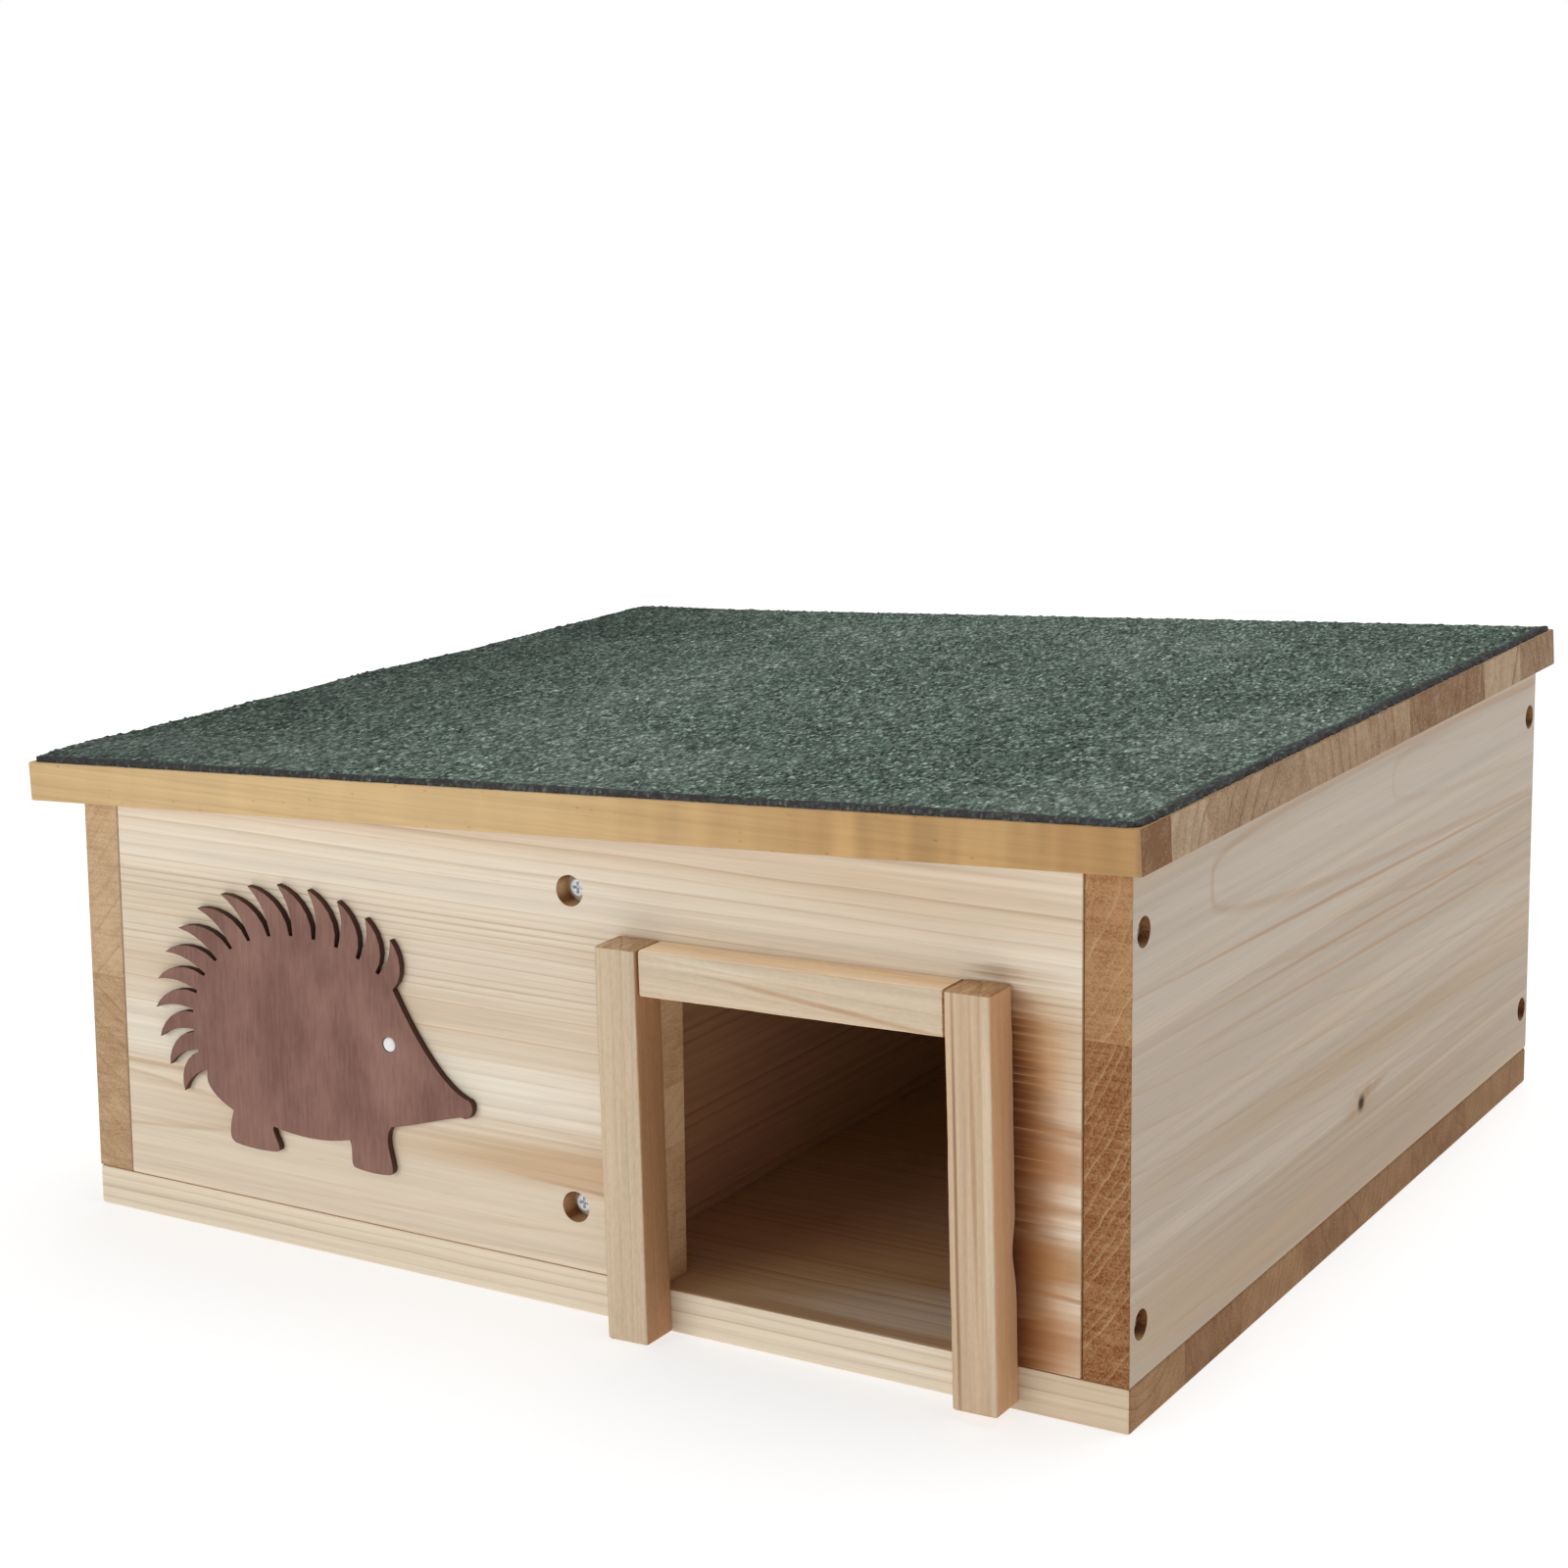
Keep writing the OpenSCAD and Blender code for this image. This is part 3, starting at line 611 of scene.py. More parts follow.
rightWall = {
    "node": "right_wall", "arris": 0.7, "axes": (1, 2, 0), "face": 225, "last": 192,
    "staves": [(16, 0.35, 250, -300, 3.0, 0.5, 0.02), (131.5, 0.80, 222, -150, 3.6, 0.15, 0.012)],
    "runout": -0.033, "wiggle": 1.1, "fibre": 0.04,
    "pale": (0.59, 0.512, 0.425), "warm": (0.51, 0.413, 0.315),
    "endPale": (0.42, 0.238, 0.108), "endDark": (0.185, 0.052, 0.010), "endLine": (0.57, 0.39, 0.225),
    "endStrength": 0.8, "saw": 0.2, "pores": 0.35, "seam": (0.6, 0.5, 0.4), "edgeTint": (0.82, 0.64, 0.48),
    "streaks": [
        (60, 176, 330, 26, -0.02, (0.62, 0.545, 0.46), 0.7),
        (-40, 30, 300, 34, 0.0, (0.455, 0.35, 0.25), 0.7),
        (0, 73, 270, 8, -0.034, (0.485, 0.37, 0.245), 0.75),
        (0, 139.5, 320, 1.1, -0.034, russet, 0.65),
        (20, 122, 300, 1.0, -0.026, russet, 0.6),
        (30, 111, 260, 1.2, -0.034, russet, 0.5),
        (90, 129, 160, 2.5, -0.03, (0.56, 0.42, 0.30), 0.6),
        (-100, 27, 120, 9, 0.01, (0.53, 0.385, 0.25), 0.6),
        (-190, 36, 60, 16, 0.0, (0.54, 0.395, 0.265), 0.5),
        (120, 95, 160, 10, -0.03, (0.615, 0.545, 0.465), 0.6),
        (-60, 56, 190, 7, -0.03, (0.595, 0.51, 0.42), 0.5),
        (5, 53.6, 8, 3, 0.12, (0.36, 0.225, 0.125), 0.7),
        (15, 54.2, 19, 2.4, 0.07, (0.40, 0.285, 0.18), 0.65),
        (-9, 49.2, 10, 2.4, 0.1, (0.44, 0.315, 0.205), 0.55),
    ],
    "arches": [(-151, 170, 9.7, 2.2, -0.033, russet, 0.34), (30, 172, 7.5, 2.0, -0.033, russet, 0.15)],
    "knots": [(0.6, 51.2, 5.0, 24)],
}
leftWall = {
    "node": "left_wall", "arris": 0.7, "axes": (1, 2, 0), "face": -225, "last": 170,
    "staves": [(16, 0.50, -240, 220, 4.0, 0.45, 0.02), (96, 0.80, 330, 230, 4.0, 0.45, 0.05)],
    "runout": 0.02, "endPale": (0.60, 0.42, 0.25), "endDark": (0.31, 0.165, 0.075), "saw": 0.15,
    "streaks": [(-40, 60, 200, 8, 0.02, tan, 0.6), (60, 120, 240, 1.5, 0.02, russet, 0.5)],
    "knots": [(90, 118, 5.0, 28)],
}
backWall = {
    "node": "back_wall", "arris": 0.6, "axes": (0, 2, 1), "face": 216, "last": 192,
    "staves": [
        (16, 0.7, 40, 22, 6.0, 0.5, 0.05), (64, 0.9, -120, 60, 4.0, 0.45, 0.01),
        (118, 0.6, 300, 50, 3.0, 0.55, -0.01), (158, 0.9, 60, 60, 3.6, 0.5, 0.01),
    ],
    "seam": (0.5, 0.4, 0.31),
    "streaks": [(-60, 92, 200, 8, 0.01, cream, 0.6), (80, 134, 160, 9, -0.01, tan, 0.6)],
}
# The partition's wood is redder than the walls': painted shade for the inside of the house
partition = {
    "node": "partition", "arris": 0.5, "axes": (1, 2, 0), "face": 16, "last": 180,
    "staves": [
        (16, 0.5, -150, 40, 4.5, 0.7, 0.0), (70, 0.7, 240, 40, 5.0, 0.7, 0.01),
        (125, 0.6, 10, 40, 4.0, 0.7, 0.0),
    ],
    "pale": (0.70, 0.46, 0.29), "warm": (0.62, 0.375, 0.22), "blush": (0.63, 0.39, 0.235),
    "late": (0.37, 0.19, 0.095),
}
# The base's wood is redder than the walls', and warmer in the staves behind the first: painted shade for
# the floor inside the house. Its edge tint makes its front and back faces paler, to the colour of its lit
# front
baseBoard = {
    "node": "base_board", "arris": 1.3, "axes": (0, 1, 2), "face": 16, "last": 217,
    "staves": [
        (-216, 0.75, -205, 22, 4.0, 0.8, 0.004), (-172, 0.38, -60, 30, 4.5, 0.8, 0.0),
        (-120, 0.65, -130, 20, 4.0, 0.6, 0.0), (-60, 0.40, 40, 40, 4.0, 0.6, 0.01),
        (0, 0.55, -40, 30, 4.5, 0.6, 0.0), (60, 0.38, 150, 40, 4.0, 0.6, 0.0),
        (130, 0.58, 110, 24, 4.5, 0.6, 0.01),
    ],
    "pale": (0.68, 0.48, 0.31), "warm": (0.61, 0.375, 0.205), "blush": (0.62, 0.40, 0.235),
    "late": (0.40, 0.21, 0.10), "edgeTint": (1.17, 1.47, 1.81), "seam": (0.85, 0.8, 0.74),
    "streaks": [
        # pale streaks on the floor just inside the doorway: painted light
        (152, -190, 66, 26, 0.05, (0.88, 0.76, 0.63), 0.85),
        (135, -202, 66, 9, 0.0, (0.84, 0.71, 0.56), 0.8),
        (212, -217, 42, 12, 0.0, (0.50, 0.30, 0.16), 0.6),
    ],
    "endPale": (0.41, 0.235, 0.112), "endDark": (0.165, 0.066, 0.021), "endStrength": 1.0, "saw": 0.08,
    "endLine": (0.17, 0.075, 0.032),
}
roofBoard = {
    "node": "roof_board", "arris": 0.6, "axes": (0, 1, 2), "face": 190, "last": 217,
    "staves": [
        (-228, 0.02, -160, 60, 3.5, 0.5, 0.004), (-204, 0.80, -150, 12, 6.0, 0.5, 0.0),
        (-175, 0.50, -60, 60, 9.0, 0.5, 0.0), (-87, 0.55, -150, 16, 8.0, 0.5, 0.0),
        (25, 0.20, 57, -24, 6.0, 0.5, 0.0), (117, 0.80, 230, 30, 9.0, 0.5, 0.0),
        (165, 0.36, 150, 14, 7.0, 0.5, 0.0),
    ],
    "pale": (0.66, 0.475, 0.255), "warm": (0.60, 0.405, 0.20), "blush": (0.60, 0.41, 0.20),
    "late": (0.46, 0.265, 0.105), "endPale": (0.52, 0.375, 0.24), "endDark": (0.215, 0.10, 0.042),
    "endStrength": 1.0, "endLine": (0.13, 0.055, 0.022), "saw": 0.08,
    "figure": 0.7, "fleck": 0.5, "specks": 0.35,
    "streaks": [
        (200, -228, 205, 120, 0.0, (0.47, 0.28, 0.115), 0.85),
        (112, -228, 16, 30, 0.0, (0.42, 0.235, 0.09), 0.12),
        (148, -228, 22, 30, 0.0, (0.40, 0.22, 0.08), 0.14),
        (216, -228, 30, 30, 0.0, (0.38, 0.20, 0.075), 0.4),
        (233, 0, 3.5, 400, 0.0, (0.24, 0.145, 0.075), 0.9),
        (-120, -228, 160, 100, 0.0, (0.66, 0.47, 0.24), 0.6),
    ],
}

setCamera(photoView)
for boardLook in (frontWall, rightWall, leftWall, backWall, partition, baseBoard, roofBoard):
    makeBoard(boardLook)
print("boards made")


# The doorway's posts and lintel: sawn battens that lean together
batten = {
    "lean": 1.2,  # degrees to the left
    "lying": False,  # whether its length runs across
    "arris": 0.9,
    "endShare": 0.6,  # how much of the arris the ends get
    "wear": 0.35,  # how much the arris varies
    "wearWaves": (9, 60),  # how many waves, and the longest
    "saw": 0.12,  # waver of the sawn faces
    "sawWaves": (7, 90),
    "dent": (0, 0, 0, 1),  # the worn place: corner of the section, how far up, how deep and how long
    "rows": 72,
    "arcPoints": 4,
    "seed": 3,
}
smoothTurn = 40  # degrees up to which a modelled piece's shading runs on over an edge


def leaningBox(node, lean):
    # middle, width, depth and height, from its box, of a piece that leans by an angle in the front's plane
    low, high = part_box(node)
    size = high - low
    c, s = math.cos(lean), abs(math.sin(lean))
    across = (size.x * c - size.z * s) / (c * c - s * s)
    upright = (size.z * c - size.x * s) / (c * c - s * s)
    return (low + high) / 2, across, size.y, upright


def leaned(points, lean, middle):
    # points turned by an angle in the front's plane, then moved to their middle
    c, s = math.cos(lean), math.sin(lean)
    x, y, z = points.T
    return np.stack([x * c - z * s, y, x * s + z * c], 1) + np.array(middle)


def meshPiece(name, points, faces, material, body, replaced):
    mesh = bpy.data.meshes.new(name)
    mesh.from_pydata(points, [], faces)
    mesh.polygons.foreach_set("use_smooth", np.ones(len(mesh.polygons), bool))
    mesh.set_sharp_from_angle(angle=math.radians(smoothTurn))
    mesh.materials.append(material)
    piece = bpy.data.objects.new(name, mesh)
    scene.collection.objects.link(piece)
    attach(piece, body)
    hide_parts(replaced)
    return piece


def gridFaces(rows, columns, loop):
    # quads between neighbouring rows; with loop the last column joins the first
    here = np.arange(rows * columns).reshape(rows, columns)
    right = np.roll(here, -1, axis=1)
    wide = columns if loop else columns - 1
    quads = np.stack([here[:-1], right[:-1], right[1:], here[1:]], axis=-1)[:, :wide]
    return quads.reshape(-1, 4)


def waver(place, rng, waves, longest):
    # a sum of sine waves of falling length and height
    lengths = longest / np.arange(1, waves + 1)
    phases = rng.uniform(0, 2 * np.pi, waves)
    heights = 1 / np.arange(1, waves + 1)
    angles = 2 * np.pi * np.asarray(place)[..., None] / lengths + phases
    return (np.sin(angles) * heights).sum(-1) / heights.sum()


def battenSurface(width, depth, length, look):
    # a rounded rectangle, four corner arcs joined by straight sides, carried along the length; the arris
    # radius and the faces waver along it, and the first and last rows draw in for the eased ends
    rng = np.random.default_rng(look["seed"])
    eased = look["arris"] * look["endShare"] * mm
    t = np.linspace(0, 1, look["rows"])
    place = np.concatenate([[0], eased + t * (length - 2 * eased), [length]])
    inset = np.zeros(len(place))
    inset[[0, -1]] = eased
    corner = np.arange(4)
    signs = np.array([(1, 1), (-1, 1), (-1, -1), (1, -1)])
    arc = np.linspace(0, np.pi / 2, look["arcPoints"])
    radius = np.stack([waver(place / mm, rng, *look["wearWaves"]) for _ in corner], 1)
    radius = look["arris"] + look["wear"] * radius
    dentCorner, dentPlace, dentDeep, dentReach = look["dent"]
    radius[:, dentCorner] += dentDeep * np.exp(-(((place / mm - dentPlace) / dentReach) ** 2))
    radius = radius[:, :, None] * mm
    face = np.stack([waver(place / mm, rng, *look["sawWaves"]) for _ in corner], 1)
    face = face[:, :, None] * look["saw"] * mm
    angle = (corner[:, None] * np.pi / 2 + arc)[None]
    halfWide = width / 2 - inset[:, None, None] - look["saw"] * mm
    halfDeep = depth / 2 - inset[:, None, None] - look["saw"] * mm
    wide = signs[None, :, 0, None] * (halfWide - radius) + radius * np.cos(angle) + face
    deep = signs[None, :, 1, None] * (halfDeep - radius) + radius * np.sin(angle) + np.roll(face, 1, axis=1)
    points = np.stack([wide, deep, np.broadcast_to(place[:, None, None] - length / 2, wide.shape)], -1)
    columns = 4 * look["arcPoints"]
    quads = gridFaces(len(place), columns, True)
    first = list(range(columns))[::-1]
    last = list(range((len(place) - 1) * columns, len(place) * columns))
    return points.reshape(-1, 3), quads.tolist() + [first, last]


def makeBatten(node, look, material):
    lean = math.radians(look["lean"])
    middle, across, deep, upright = leaningBox(node, lean)
    if look["lying"]:
        points, faces = battenSurface(deep, upright, across, look)
        points = points[:, [2, 0, 1]]
    else:
        points, faces = battenSurface(across, deep, upright, look)
    meshPiece(node + "_batten", leaned(points, lean, middle).tolist(), faces, material, "house", node)


# Its edge tint makes its sides darker and redder than its front: painted shade for the side in the doorway
leftPost = {
    "axes": (2, 0, 1), "face": -232.5, "last": 60, "staves": [(20, 0.55, -40, 40, 4.0, 0.45, 0.0)],
    "pale": (0.61, 0.485, 0.345), "warm": (0.555, 0.425, 0.29), "blush": (0.57, 0.44, 0.30),
    "edgeTint": (0.85, 0.60, 0.455), "seam": (0.85, 0.8, 0.74), "runout": -0.021, "fleck": 0.5, "fuzz": 0.1,
    "endPale": (0.74, 0.545, 0.36), "endDark": (0.44, 0.27, 0.15),
}
rightPost = {
    "axes": (2, 0, 1), "face": -232.5, "last": 200, "staves": [(160, 0.55, 120, 20, 6.0, 0.45, 0.01)],
    "pale": (0.61, 0.45, 0.305), "warm": (0.535, 0.385, 0.247), "blush": (0.555, 0.40, 0.257),
    "edgeTint": (1.08, 0.83, 0.665), "runout": -0.021, "fuzz": 0.06, "seam": (0.85, 0.8, 0.74),
    "endPale": (0.74, 0.51, 0.31), "endDark": (0.44, 0.245, 0.12),
    "streaks": [
        (70, 170.2, 120, 0.9, -0.021, (0.24, 0.125, 0.06), 0.8),
        (90, 176.5, 70, 1.2, -0.03, (0.40, 0.25, 0.14), 0.7),
        (72, 182.5, 110, 3.2, -0.021, (0.68, 0.555, 0.405), 0.75),
    ],
}
# Its edge tint lightens its top face and underside: painted light, meant for the top face
lintel = {
    "axes": (0, 2, 1), "face": -231.5, "last": 160, "staves": [(120, 0.70, 60, 30, 6.0, 0.45, 0.04)],
    "pale": (0.64, 0.535, 0.395), "warm": (0.565, 0.44, 0.305),
    "edgeTint": (1.72, 1.66, 1.6), "seam": (0.85, 0.8, 0.74), "runout": -0.03, "fuzz": 0.06,
    "streaks": [(120, 134, 60, 1.3, -0.09, russet, 0.7), (70, 141, 40, 3, -0.04, (0.72, 0.62, 0.48), 0.6)],
}
wornBatten = {**batten, "seed": 5, "dent": (0, 52.5, 3.2, 8)}
lyingBatten = {**batten, "seed": 7, "lying": True}
makeBatten("left_entrance_post", batten, woodMaterial("left_post_wood", leftPost))
makeBatten("right_entrance_post", wornBatten, woodMaterial("right_post_wood", rightPost))
makeBatten("entrance_lintel", lyingBatten, woodMaterial("lintel_wood", lintel))
print("doorway frame made")


# Mineral felt: a thick bitumen sheet faced with crushed green stone
felt = {
    "step": 1.55,  # between points of its upper face
    "edgeSteps": (0, 0.35, 0.8, 1.4, 2.2, 3.2),
    "cornerRadius": 6,
    "rim": 1.1,  # roundness of its edge
    "overlap": 0.9,  # how far it covers the bare strip left round it
    "margin": 7,  # strip along the front and right edges that has lost its stone
    "marginWaves": (12, 160),  # how many waves, and the longest
    "marginVaries": 0.45,
    "marginSlant": 1.7,  # waves along the right edge for each along the front
    "stoneStart": 0.7,  # the stone starts at this share of the margin and fades in over the next
    "stoneFade": 0.5,
    "leastFade": 0.5,
    "marginFull": 0.85,  # how nearly the strip stands as high as the stone
    "marginGrit": 0.25,  # how much of the grit it keeps
    "grit": 0.6,
    "droop": 0.35,  # share of its height that a corner loses, over this many millimetres
    "droopReach": 9,
    "wander": 0.35,  # how far the cut edge leaves a straight line
    "wanderReach": 4,
    "wanderWaves": (10, 140),
    "ragged": 0.6,  # stones that stand out of the edge
    "raggedReach": 1.5,
    "lift": 1.9,  # the left edge curls up
    "liftWaves": (5, 230),
    "liftVaries": 0.4,
    "curl": 30,
    "curlFront": 9,  # the curl comes in over this length from the front
    "cornerLift": 2.0,  # and is higher there
    "cornerReach": 110,
    "seed": 23,
    "bitumen": (0.050, 0.044, 0.047),
    "stone": [
        (0.0, (0.040, 0.060, 0.048)), (0.35, (0.095, 0.140, 0.112)), (0.7, (0.17, 0.235, 0.193)),
        (0.93, (0.26, 0.34, 0.285)), (1.0, (0.42, 0.50, 0.44)),
    ],
    "dust": (0.20, 0.225, 0.205),
    "dustShare": 0.45,
    "dustSpan": (0.48, 0.72),  # where it starts to show and where it shows in full
    "stonePerMetre": 680,
    "stoneStretch": (1.25, 0.62, 1.0),  # the stones lie along the sheet's run
    "strayStones": (0, 0.8, 1.0, 0.7),  # how bare the strip is, stone by stone
    "clump": 0.45,  # clumps per stone, along a line
    "patch": (9, 9, 9),  # in cycles per metre
    "stoneSpan": (0.25, 0.7),  # a stone's middle and its edge
    "stoneLight": (1.1, 0.5),  # and its brightness there: darker at the edge, painted shade in the gaps between stones, where the bitumen also shows
    "clumpLight": (0.65, 1.35),
    "patchLight": (0.8, 1.2),
    "leftSpan": (-240, -80),  # the left side is duller
    "leftLight": (0.56, 1.03),
    "rough": (0.75, 0.95),
    "gloss": 0.2,
    "bump": (0.45, 0.5),
}


def feltSteps(length, look):
    edge = np.array(look["edgeSteps"]) * mm
    count = int((length - 2 * edge[-1]) / (look["step"] * mm))
    inner = np.linspace(edge[-1], length - edge[-1], count)
    return np.concatenate([edge[:-1], inner, length - edge[:-1][::-1]])


def feltHeight(gridX, gridY, thick, rim, stone, fromCorner, look, rng):
    # the rim rises as a quarter circle, and the bare strip stands fuller; grit is the cube of a random
    # number at each point; the left edge lifts in waves, by an exponential of the distance from it and more
    # towards the front, and the corners fall by an exponential of the distance from them
    flat = thick - 2 * look["grit"] * mm
    rounded = np.sqrt(1 - (1 - rim) ** 2)
    height = rounded * (flat + look["marginFull"] * (thick - flat) * (1 - stone))
    kept = look["marginGrit"] + (1 - look["marginGrit"]) * stone
    grit = rng.uniform(-1, 1, gridX.shape) ** 3 * kept
    height = height + grit * look["grit"] * mm * rim
    curled = np.exp(-gridX / (look["curl"] * mm)) * (1 - np.exp(-gridY / (look["curlFront"] * mm)))
    lift = look["lift"] + look["cornerLift"] * np.exp(-gridY / (look["cornerReach"] * mm))
    waves = 1 - look["liftVaries"] + look["liftVaries"] * waver(gridY / mm, rng, *look["liftWaves"])
    height = height + lift * mm * curled * rim * waves
    return height * (1 - look["droop"] * np.exp(-fromCorner / (look["droopReach"] * mm)))


def feltOutline(gridX, gridY, width, depth, fromEdge, look, rng):
    # the cut edge leaves a straight line by random steps and slow waves, and arcs round the corners
    ragged = np.exp(-fromEdge / (look["raggedReach"] * mm)) * look["ragged"] * mm
    gridX = gridX + ragged * rng.uniform(-1, 1, gridX.shape)
    gridY = gridY + ragged * rng.uniform(-1, 1, gridX.shape)
    pull = np.exp(-fromEdge / (look["wanderReach"] * mm)) * look["wander"] * mm
    waves = look["wanderWaves"]
    gridX = gridX + np.sign(width / 2 - gridX) * pull * (0.5 + 0.5 * waver(gridY / mm, rng, *waves))
    gridY = gridY + np.sign(depth / 2 - gridY) * pull * (0.5 + 0.5 * waver(gridX / mm, rng, *waves))
    radius = look["cornerRadius"] * mm
    inX = np.clip(gridX, radius, width - radius)
    inY = np.clip(gridY, radius, depth - radius)
    out = np.hypot(gridX - inX, gridY - inY)
    keep = np.where(out > radius, radius / np.maximum(out, 1e-9), 1.0)
    return inX + (gridX - inX) * keep, inY + (gridY - inY) * keep


def feltSurface(width, depth, thick, look):
    # a sheet on a grid with one face beneath; its stone is lost along the front and right edges, over a
    # margin that varies in waves, and on the rim
    rng = np.random.default_rng(look["seed"])
    gridX, gridY = np.meshgrid(feltSteps(width, look), feltSteps(depth, look), indexing="ij")
    toSide = np.minimum(gridX, width - gridX)
    toEnd = np.minimum(gridY, depth - gridY)
    fromEdge = np.minimum(toSide, toEnd)
    rim = np.clip(fromEdge / (look["rim"] * mm), 0, 1)
    waves = waver((gridX + look["marginSlant"] * gridY) / mm, rng, *look["marginWaves"])
    margin = look["margin"] * mm * (1 - look["marginVaries"] + look["marginVaries"] * waves)
    bare = np.minimum(width - gridX, gridY)
    fade = margin * look["stoneFade"] + look["leastFade"] * mm
    stone = np.clip((bare - margin * look["stoneStart"]) / fade, 0, 1)
    height = feltHeight(gridX, gridY, thick, rim, stone, np.hypot(toSide, toEnd), look, rng)
    gridX, gridY = feltOutline(gridX, gridY, width, depth, fromEdge, look, rng)
    points = np.stack([gridX - width / 2, gridY - depth / 2, height - thick / 2], -1)
    rows, columns = gridX.shape
    quads = gridFaces(rows, columns, False)[:, ::-1]
    index = np.arange(rows * columns).reshape(rows, columns)
    loop = np.concatenate([index[:-1, 0], index[-1, :-1], index[1:, -1][::-1], index[0, 1:][::-1]])
    worn = np.maximum(1 - stone, 1 - rim).ravel()
    return points.reshape(-1, 3), quads.tolist() + [loop[::-1].tolist()], worn


def feltMaterial(look):
    material, tree, shader = newMaterial("mineral_felt")
    spot = tree.nodes.new("ShaderNodeTexCoord").outputs["Object"]
    worn = tree.nodes.new("ShaderNodeAttribute")
    worn.attribute_name = "worn"
    laid = stretched(tree, spot, look["stoneStretch"])
    gap, tint = cells(tree, laid, look["stonePerMetre"])
    clumpTint = cells(tree, laid, look["stonePerMetre"] * look["clump"])[1]
    patch = cloud(tree, spot, look["patch"], detail=4)
    colour = ramp(tree, tint[0], look["stone"])
    dustAndShade = spread(tree, patch, *look["dustSpan"], 0, look["dustShare"])
    colour = blendColour(tree, dustAndShade, colour, look["dust"])
    # stones darken towards their edges: painted shade in the gaps, with the bitumen that shows there
    bright = spread(tree, gap, *look["stoneSpan"], *look["stoneLight"])
    bright = calc(tree, "MULTIPLY", bright, spread(tree, clumpTint[1], 0, 1, *look["clumpLight"]))
    bright = calc(tree, "MULTIPLY", bright, spread(tree, patch, *noiseSpan, *look["patchLight"]))
    leftStart, leftEnd = [place * mm for place in look["leftSpan"]]
    leftSide = spread(tree, splitVector(tree, spot)[0], leftStart, leftEnd, *look["leftLight"])
    colour = vectorCalc(tree, "MULTIPLY", colour, calc(tree, "MULTIPLY", bright, leftSide))
    lost = calc(tree, "MULTIPLY", worn.outputs["Fac"], spread(tree, tint[1], *look["strayStones"]))
    colour = blendColour(tree, lost, colour, look["bitumen"])
    roughness = spread(tree, tint[2], 0, 1, *look["rough"])
    setSurface(tree, shader, look, colour, roughness, calc(tree, "SUBTRACT", 1.0, gap))
    return material


def makeFelt(look):
    middle, wide, deep, thick = leaningBox("roof_felt", roofFall)
    more = 2 * look["overlap"] * mm
    points, faces, worn = feltSurface(wide + more, deep + more, thick, look)
    points = leaned(points, roofFall, middle).tolist()
    piece = meshPiece("roof_felt_sheet", points, faces, feltMaterial(look), "roof", "roof_felt")
    piece.data.attributes.new("worn", "FLOAT", "POINT").data.foreach_set("value", worn.astype(np.float32))
    print("felt has", len(faces), "faces")


makeFelt(felt)

# The hedgehog plaque: stained plywood with a white eye
plaque = {
    "arris": 0.3,
    "shortest": 0.1,  # shorter edges stay sharp
    "stain": (0.285, 0.148, 0.115),
    "dark": (0.172, 0.08, 0.06),
    "edge": (0.085, 0.042, 0.032),
    "glue": (0.05, 0.024, 0.018),
    "plies": 3,
    "glueSpan": (0.7, 0.9),  # share of a ply where its glue line starts and is full
    "frontTurn": (0.4, 0.8),  # the normal's part forwards as the edge turns to the front
    "grainLean": 0.33,
    "fineGrain": (1100, 500, 110),  # in cycles per metre
    "fineSpan": (0.4, 0.75),
    "fineShare": 0.5,
    "broadGrain": (38, 38, 22),
    "broadSpan": (0.35, 0.65),
    "broadShare": 0.8,
    "rough": (0.45, 0.65),
    "gloss": 0.3,
    "bump": (0.25, 0.2),
}


def plaqueMaterial(look, thick):
    material, tree, shader = newMaterial("stained_ply")
    spot = tree.nodes.new("ShaderNodeTexCoord")
    lean = (0, look["grainLean"], 0)
    fine = cloud(tree, spot.outputs["Object"], look["fineGrain"], detail=4, rough=0.65, turn=lean)
    broad = cloud(tree, spot.outputs["Object"], look["broadGrain"], detail=4, rough=0.6, turn=lean)
    fineDark = spread(tree, fine, *look["fineSpan"], 0, look["fineShare"])
    broadDark = spread(tree, broad, *look["broadSpan"], 0, look["broadShare"])
    front = blendColour(tree, calc(tree, "ADD", fineDark, broadDark), look["stain"], look["dark"])
    depth = splitVector(tree, spot.outputs["Object"])[1]
    ply = calc(tree, "FRACT", calc(tree, "MULTIPLY", depth, look["plies"] / thick))
    side = blendColour(tree, spread(tree, ply, *look["glueSpan"]), look["edge"], look["glue"])
    facing = calc(tree, "ABSOLUTE", splitVector(tree, spot.outputs["Normal"])[1])
    colour = blendColour(tree, spread(tree, facing, *look["frontTurn"]), side, front)
    setSurface(tree, shader, look, colour, spread(tree, fine, *wideSpan, *look["rough"]), fine)
    return material


eyeDisc = {
    "rings": 10,
    "sides": 40,
    "dome": 0.45,
    "edgeFall": 0.25,  # the dome's edge falls more steeply
    "edgePower": 12,
    "white": (0.86, 0.855, 0.845),
    "dull": (0.76, 0.75, 0.73),
    "mottle": (600, 600, 600),  # in cycles per metre
    "rough": (0.25, 0.4),
    "gloss": 0.5,
    "bump": (0.1, 0.1),
}


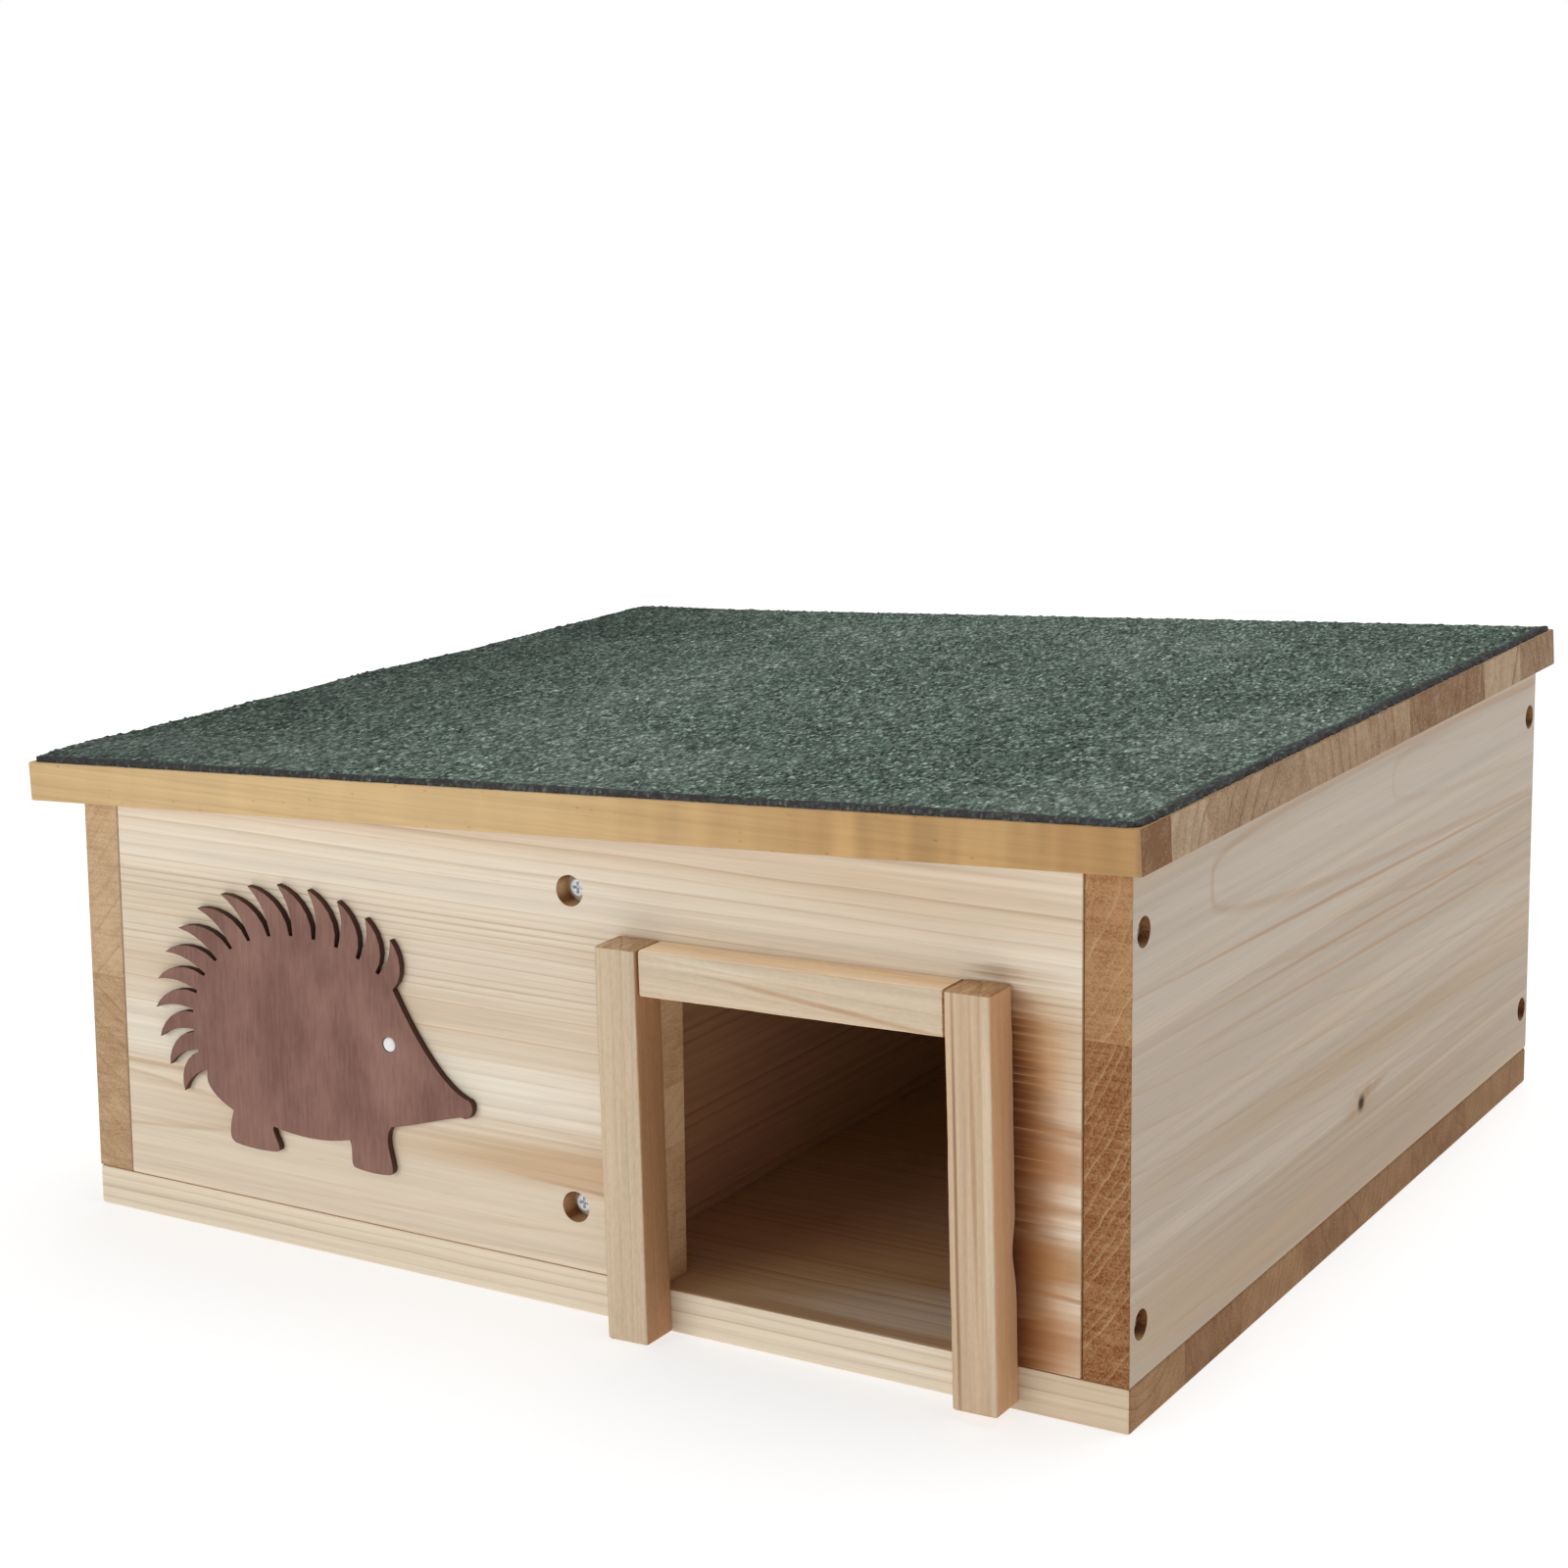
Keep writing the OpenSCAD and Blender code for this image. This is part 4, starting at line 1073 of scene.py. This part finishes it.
def eyeSurface(radius, thick, look):
    # a profile turned about its axis: a straight wall, then a dome that falls with the square of the
    # radius, and near its edge with a high power of it
    share = np.linspace(0, 1, look["rings"])[1:][::-1]
    dome = thick - look["dome"] * mm * share**2 - look["edgeFall"] * mm * share ** look["edgePower"]
    reach = np.concatenate([[share[0]], share]) * radius
    level = np.concatenate([[0.0], dome])
    turn = np.linspace(0, 2 * np.pi, look["sides"], endpoint=False)
    points = np.stack([
        reach[:, None] * np.cos(turn), np.broadcast_to(-level[:, None], (len(reach), len(turn))),
        reach[:, None] * np.sin(turn)], -1)
    rows = len(reach)
    quads = gridFaces(rows, look["sides"], True)
    bottom = list(range(look["sides"]))[::-1]
    top = list(range((rows - 1) * look["sides"], rows * look["sides"]))
    return points.reshape(-1, 3), quads.tolist() + [bottom, top]


def eyeMaterial(look):
    material, tree, shader = newMaterial("white_paint")
    spot = tree.nodes.new("ShaderNodeTexCoord").outputs["Object"]
    mottle = cloud(tree, spot, look["mottle"])
    colour = blendColour(tree, mottle, look["dull"], look["white"])
    setSurface(tree, shader, look, colour, spread(tree, mottle, *noiseSpan, *look["rough"]), mottle)
    return material


def makePlaque(look, eye):
    low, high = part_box("hedgehog_plaque")
    pieceFromNode("hedgehog_plaque", look["arris"], look["shortest"], plaqueMaterial(look, high.y - low.y))
    low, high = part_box("plaque_eye")
    points, faces = eyeSurface((high.x - low.x) / 2, high.y - low.y, eye)
    middle = np.array(((low.x + high.x) / 2, high.y, (low.z + high.z) / 2))
    meshPiece("plaque_eye_disc", (points + middle).tolist(), faces, eyeMaterial(eye), "house", "plaque_eye")


makePlaque(plaque, eyeDisc)
print("plaque made")

# Zinc-plated screws and hinges
screwZinc = {"bright": (0.93, 0.95, 0.98), "dull": (0.70, 0.74, 0.79), "metal": 0.1}  # passivated
shadedScrewZinc = {"bright": (0.44, 0.42, 0.41), "dull": (0.28, 0.26, 0.25), "metal": 0.1}  # the side walls' screws, darker: painted shade
hingeZinc = {"bright": (0.60, 0.62, 0.65), "dull": (0.42, 0.44, 0.47), "metal": 0.9}
plating = {
    "spangle": (900, 900, 900),  # in cycles per metre
    "scratch": (300, 300, 4000),
    "rough": (0.35, 0.55),
    "gloss": 0.5,
    "bump": (0.15, 0.05),
}


def zincMaterial(name, look):
    material, tree, shader = newMaterial(name)
    spot = tree.nodes.new("ShaderNodeTexCoord").outputs["Object"]
    spangle = cloud(tree, spot, plating["spangle"], detail=3)
    scratch = cloud(tree, spot, plating["scratch"])
    colour = blendColour(tree, spangle, look["dull"], look["bright"])
    setSurface(tree, shader, plating, colour, spread(tree, scratch, *noiseSpan, *plating["rough"]), scratch)
    shader.inputs["Metallic"].default_value = look["metal"]
    return material


def plateHardware():
    screws = zincMaterial("screw_zinc", screwZinc)
    dustAndShade = zincMaterial("shaded_screw_zinc", shadedScrewZinc)
    hinges = zincMaterial("hinge_zinc", hingeZinc)
    for node in [name for name, slot in slotOf.items() if slot == "zinc_steel"]:
        # the side walls' screws take the darker copy: painted shade
        plated = dustAndShade if node.endswith("wall_screws") else screws
        if "hinge" in node:
            plated = hinges
        nodes[node].data.materials.clear()
        nodes[node].data.materials.append(plated)


plateHardware()
print("screws and hinges plated")


# Floor and light
def makeFloor(look):
    reach = look["floorReach"] * mm
    corners = np.array([(-1, -1, 0), (1, -1, 0), (1, 1, 0), (-1, 1, 0)]) * reach
    mesh = bpy.data.meshes.new("studio_floor")
    mesh.from_pydata(corners.tolist(), [], [(0, 1, 2, 3)])
    material, tree, shader = newMaterial("studio_floor")
    shader.inputs["Base Color"].default_value = (*look["floorTone"], 1)
    shader.inputs["Roughness"].default_value = 1.0
    shader.inputs["Specular IOR Level"].default_value = 0.0
    shader.inputs["Emission Color"].default_value = (1, 1, 1, 1)
    shader.inputs["Emission Strength"].default_value = look["floorGlow"]
    mesh.materials.append(material)
    floor = bpy.data.objects.new("studio_floor", mesh)
    scene.collection.objects.link(floor)


def makeSky(look):
    # white where the camera sees it, and dimmer as a light
    world = bpy.data.worlds.new("studio_sky")
    world.use_nodes = True
    tree = world.node_tree
    sky = tree.nodes["Background"]
    sky.inputs["Color"].default_value = (1, 1, 1, 1)
    seen = tree.nodes.new("ShaderNodeLightPath").outputs["Is Camera Ray"]
    plug(tree, sky.inputs["Strength"], spread(tree, seen, 0, 1, look["skyGlow"], 1.0))
    scene.world = world


def setResponse(look):
    settings = scene.view_settings
    settings.view_transform = "Standard"
    settings.look = "None"
    response = settings.curve_mapping
    response.extend = "EXTRAPOLATED"
    for darkness, shown in look["toe"]:
        response.curves[3].points.new(darkness, shown)
    response.update()
    settings.use_curve_mapping = True


makeFloor(studio)
makeSky(studio)
addSun("key_light", studio["keyFrom"], studio["keyStrength"], studio["keySoftness"])
addSun("top_light", studio["topFrom"], studio["topStrength"], studio["topSoftness"])
setResponse(studio)
print("studio lit")
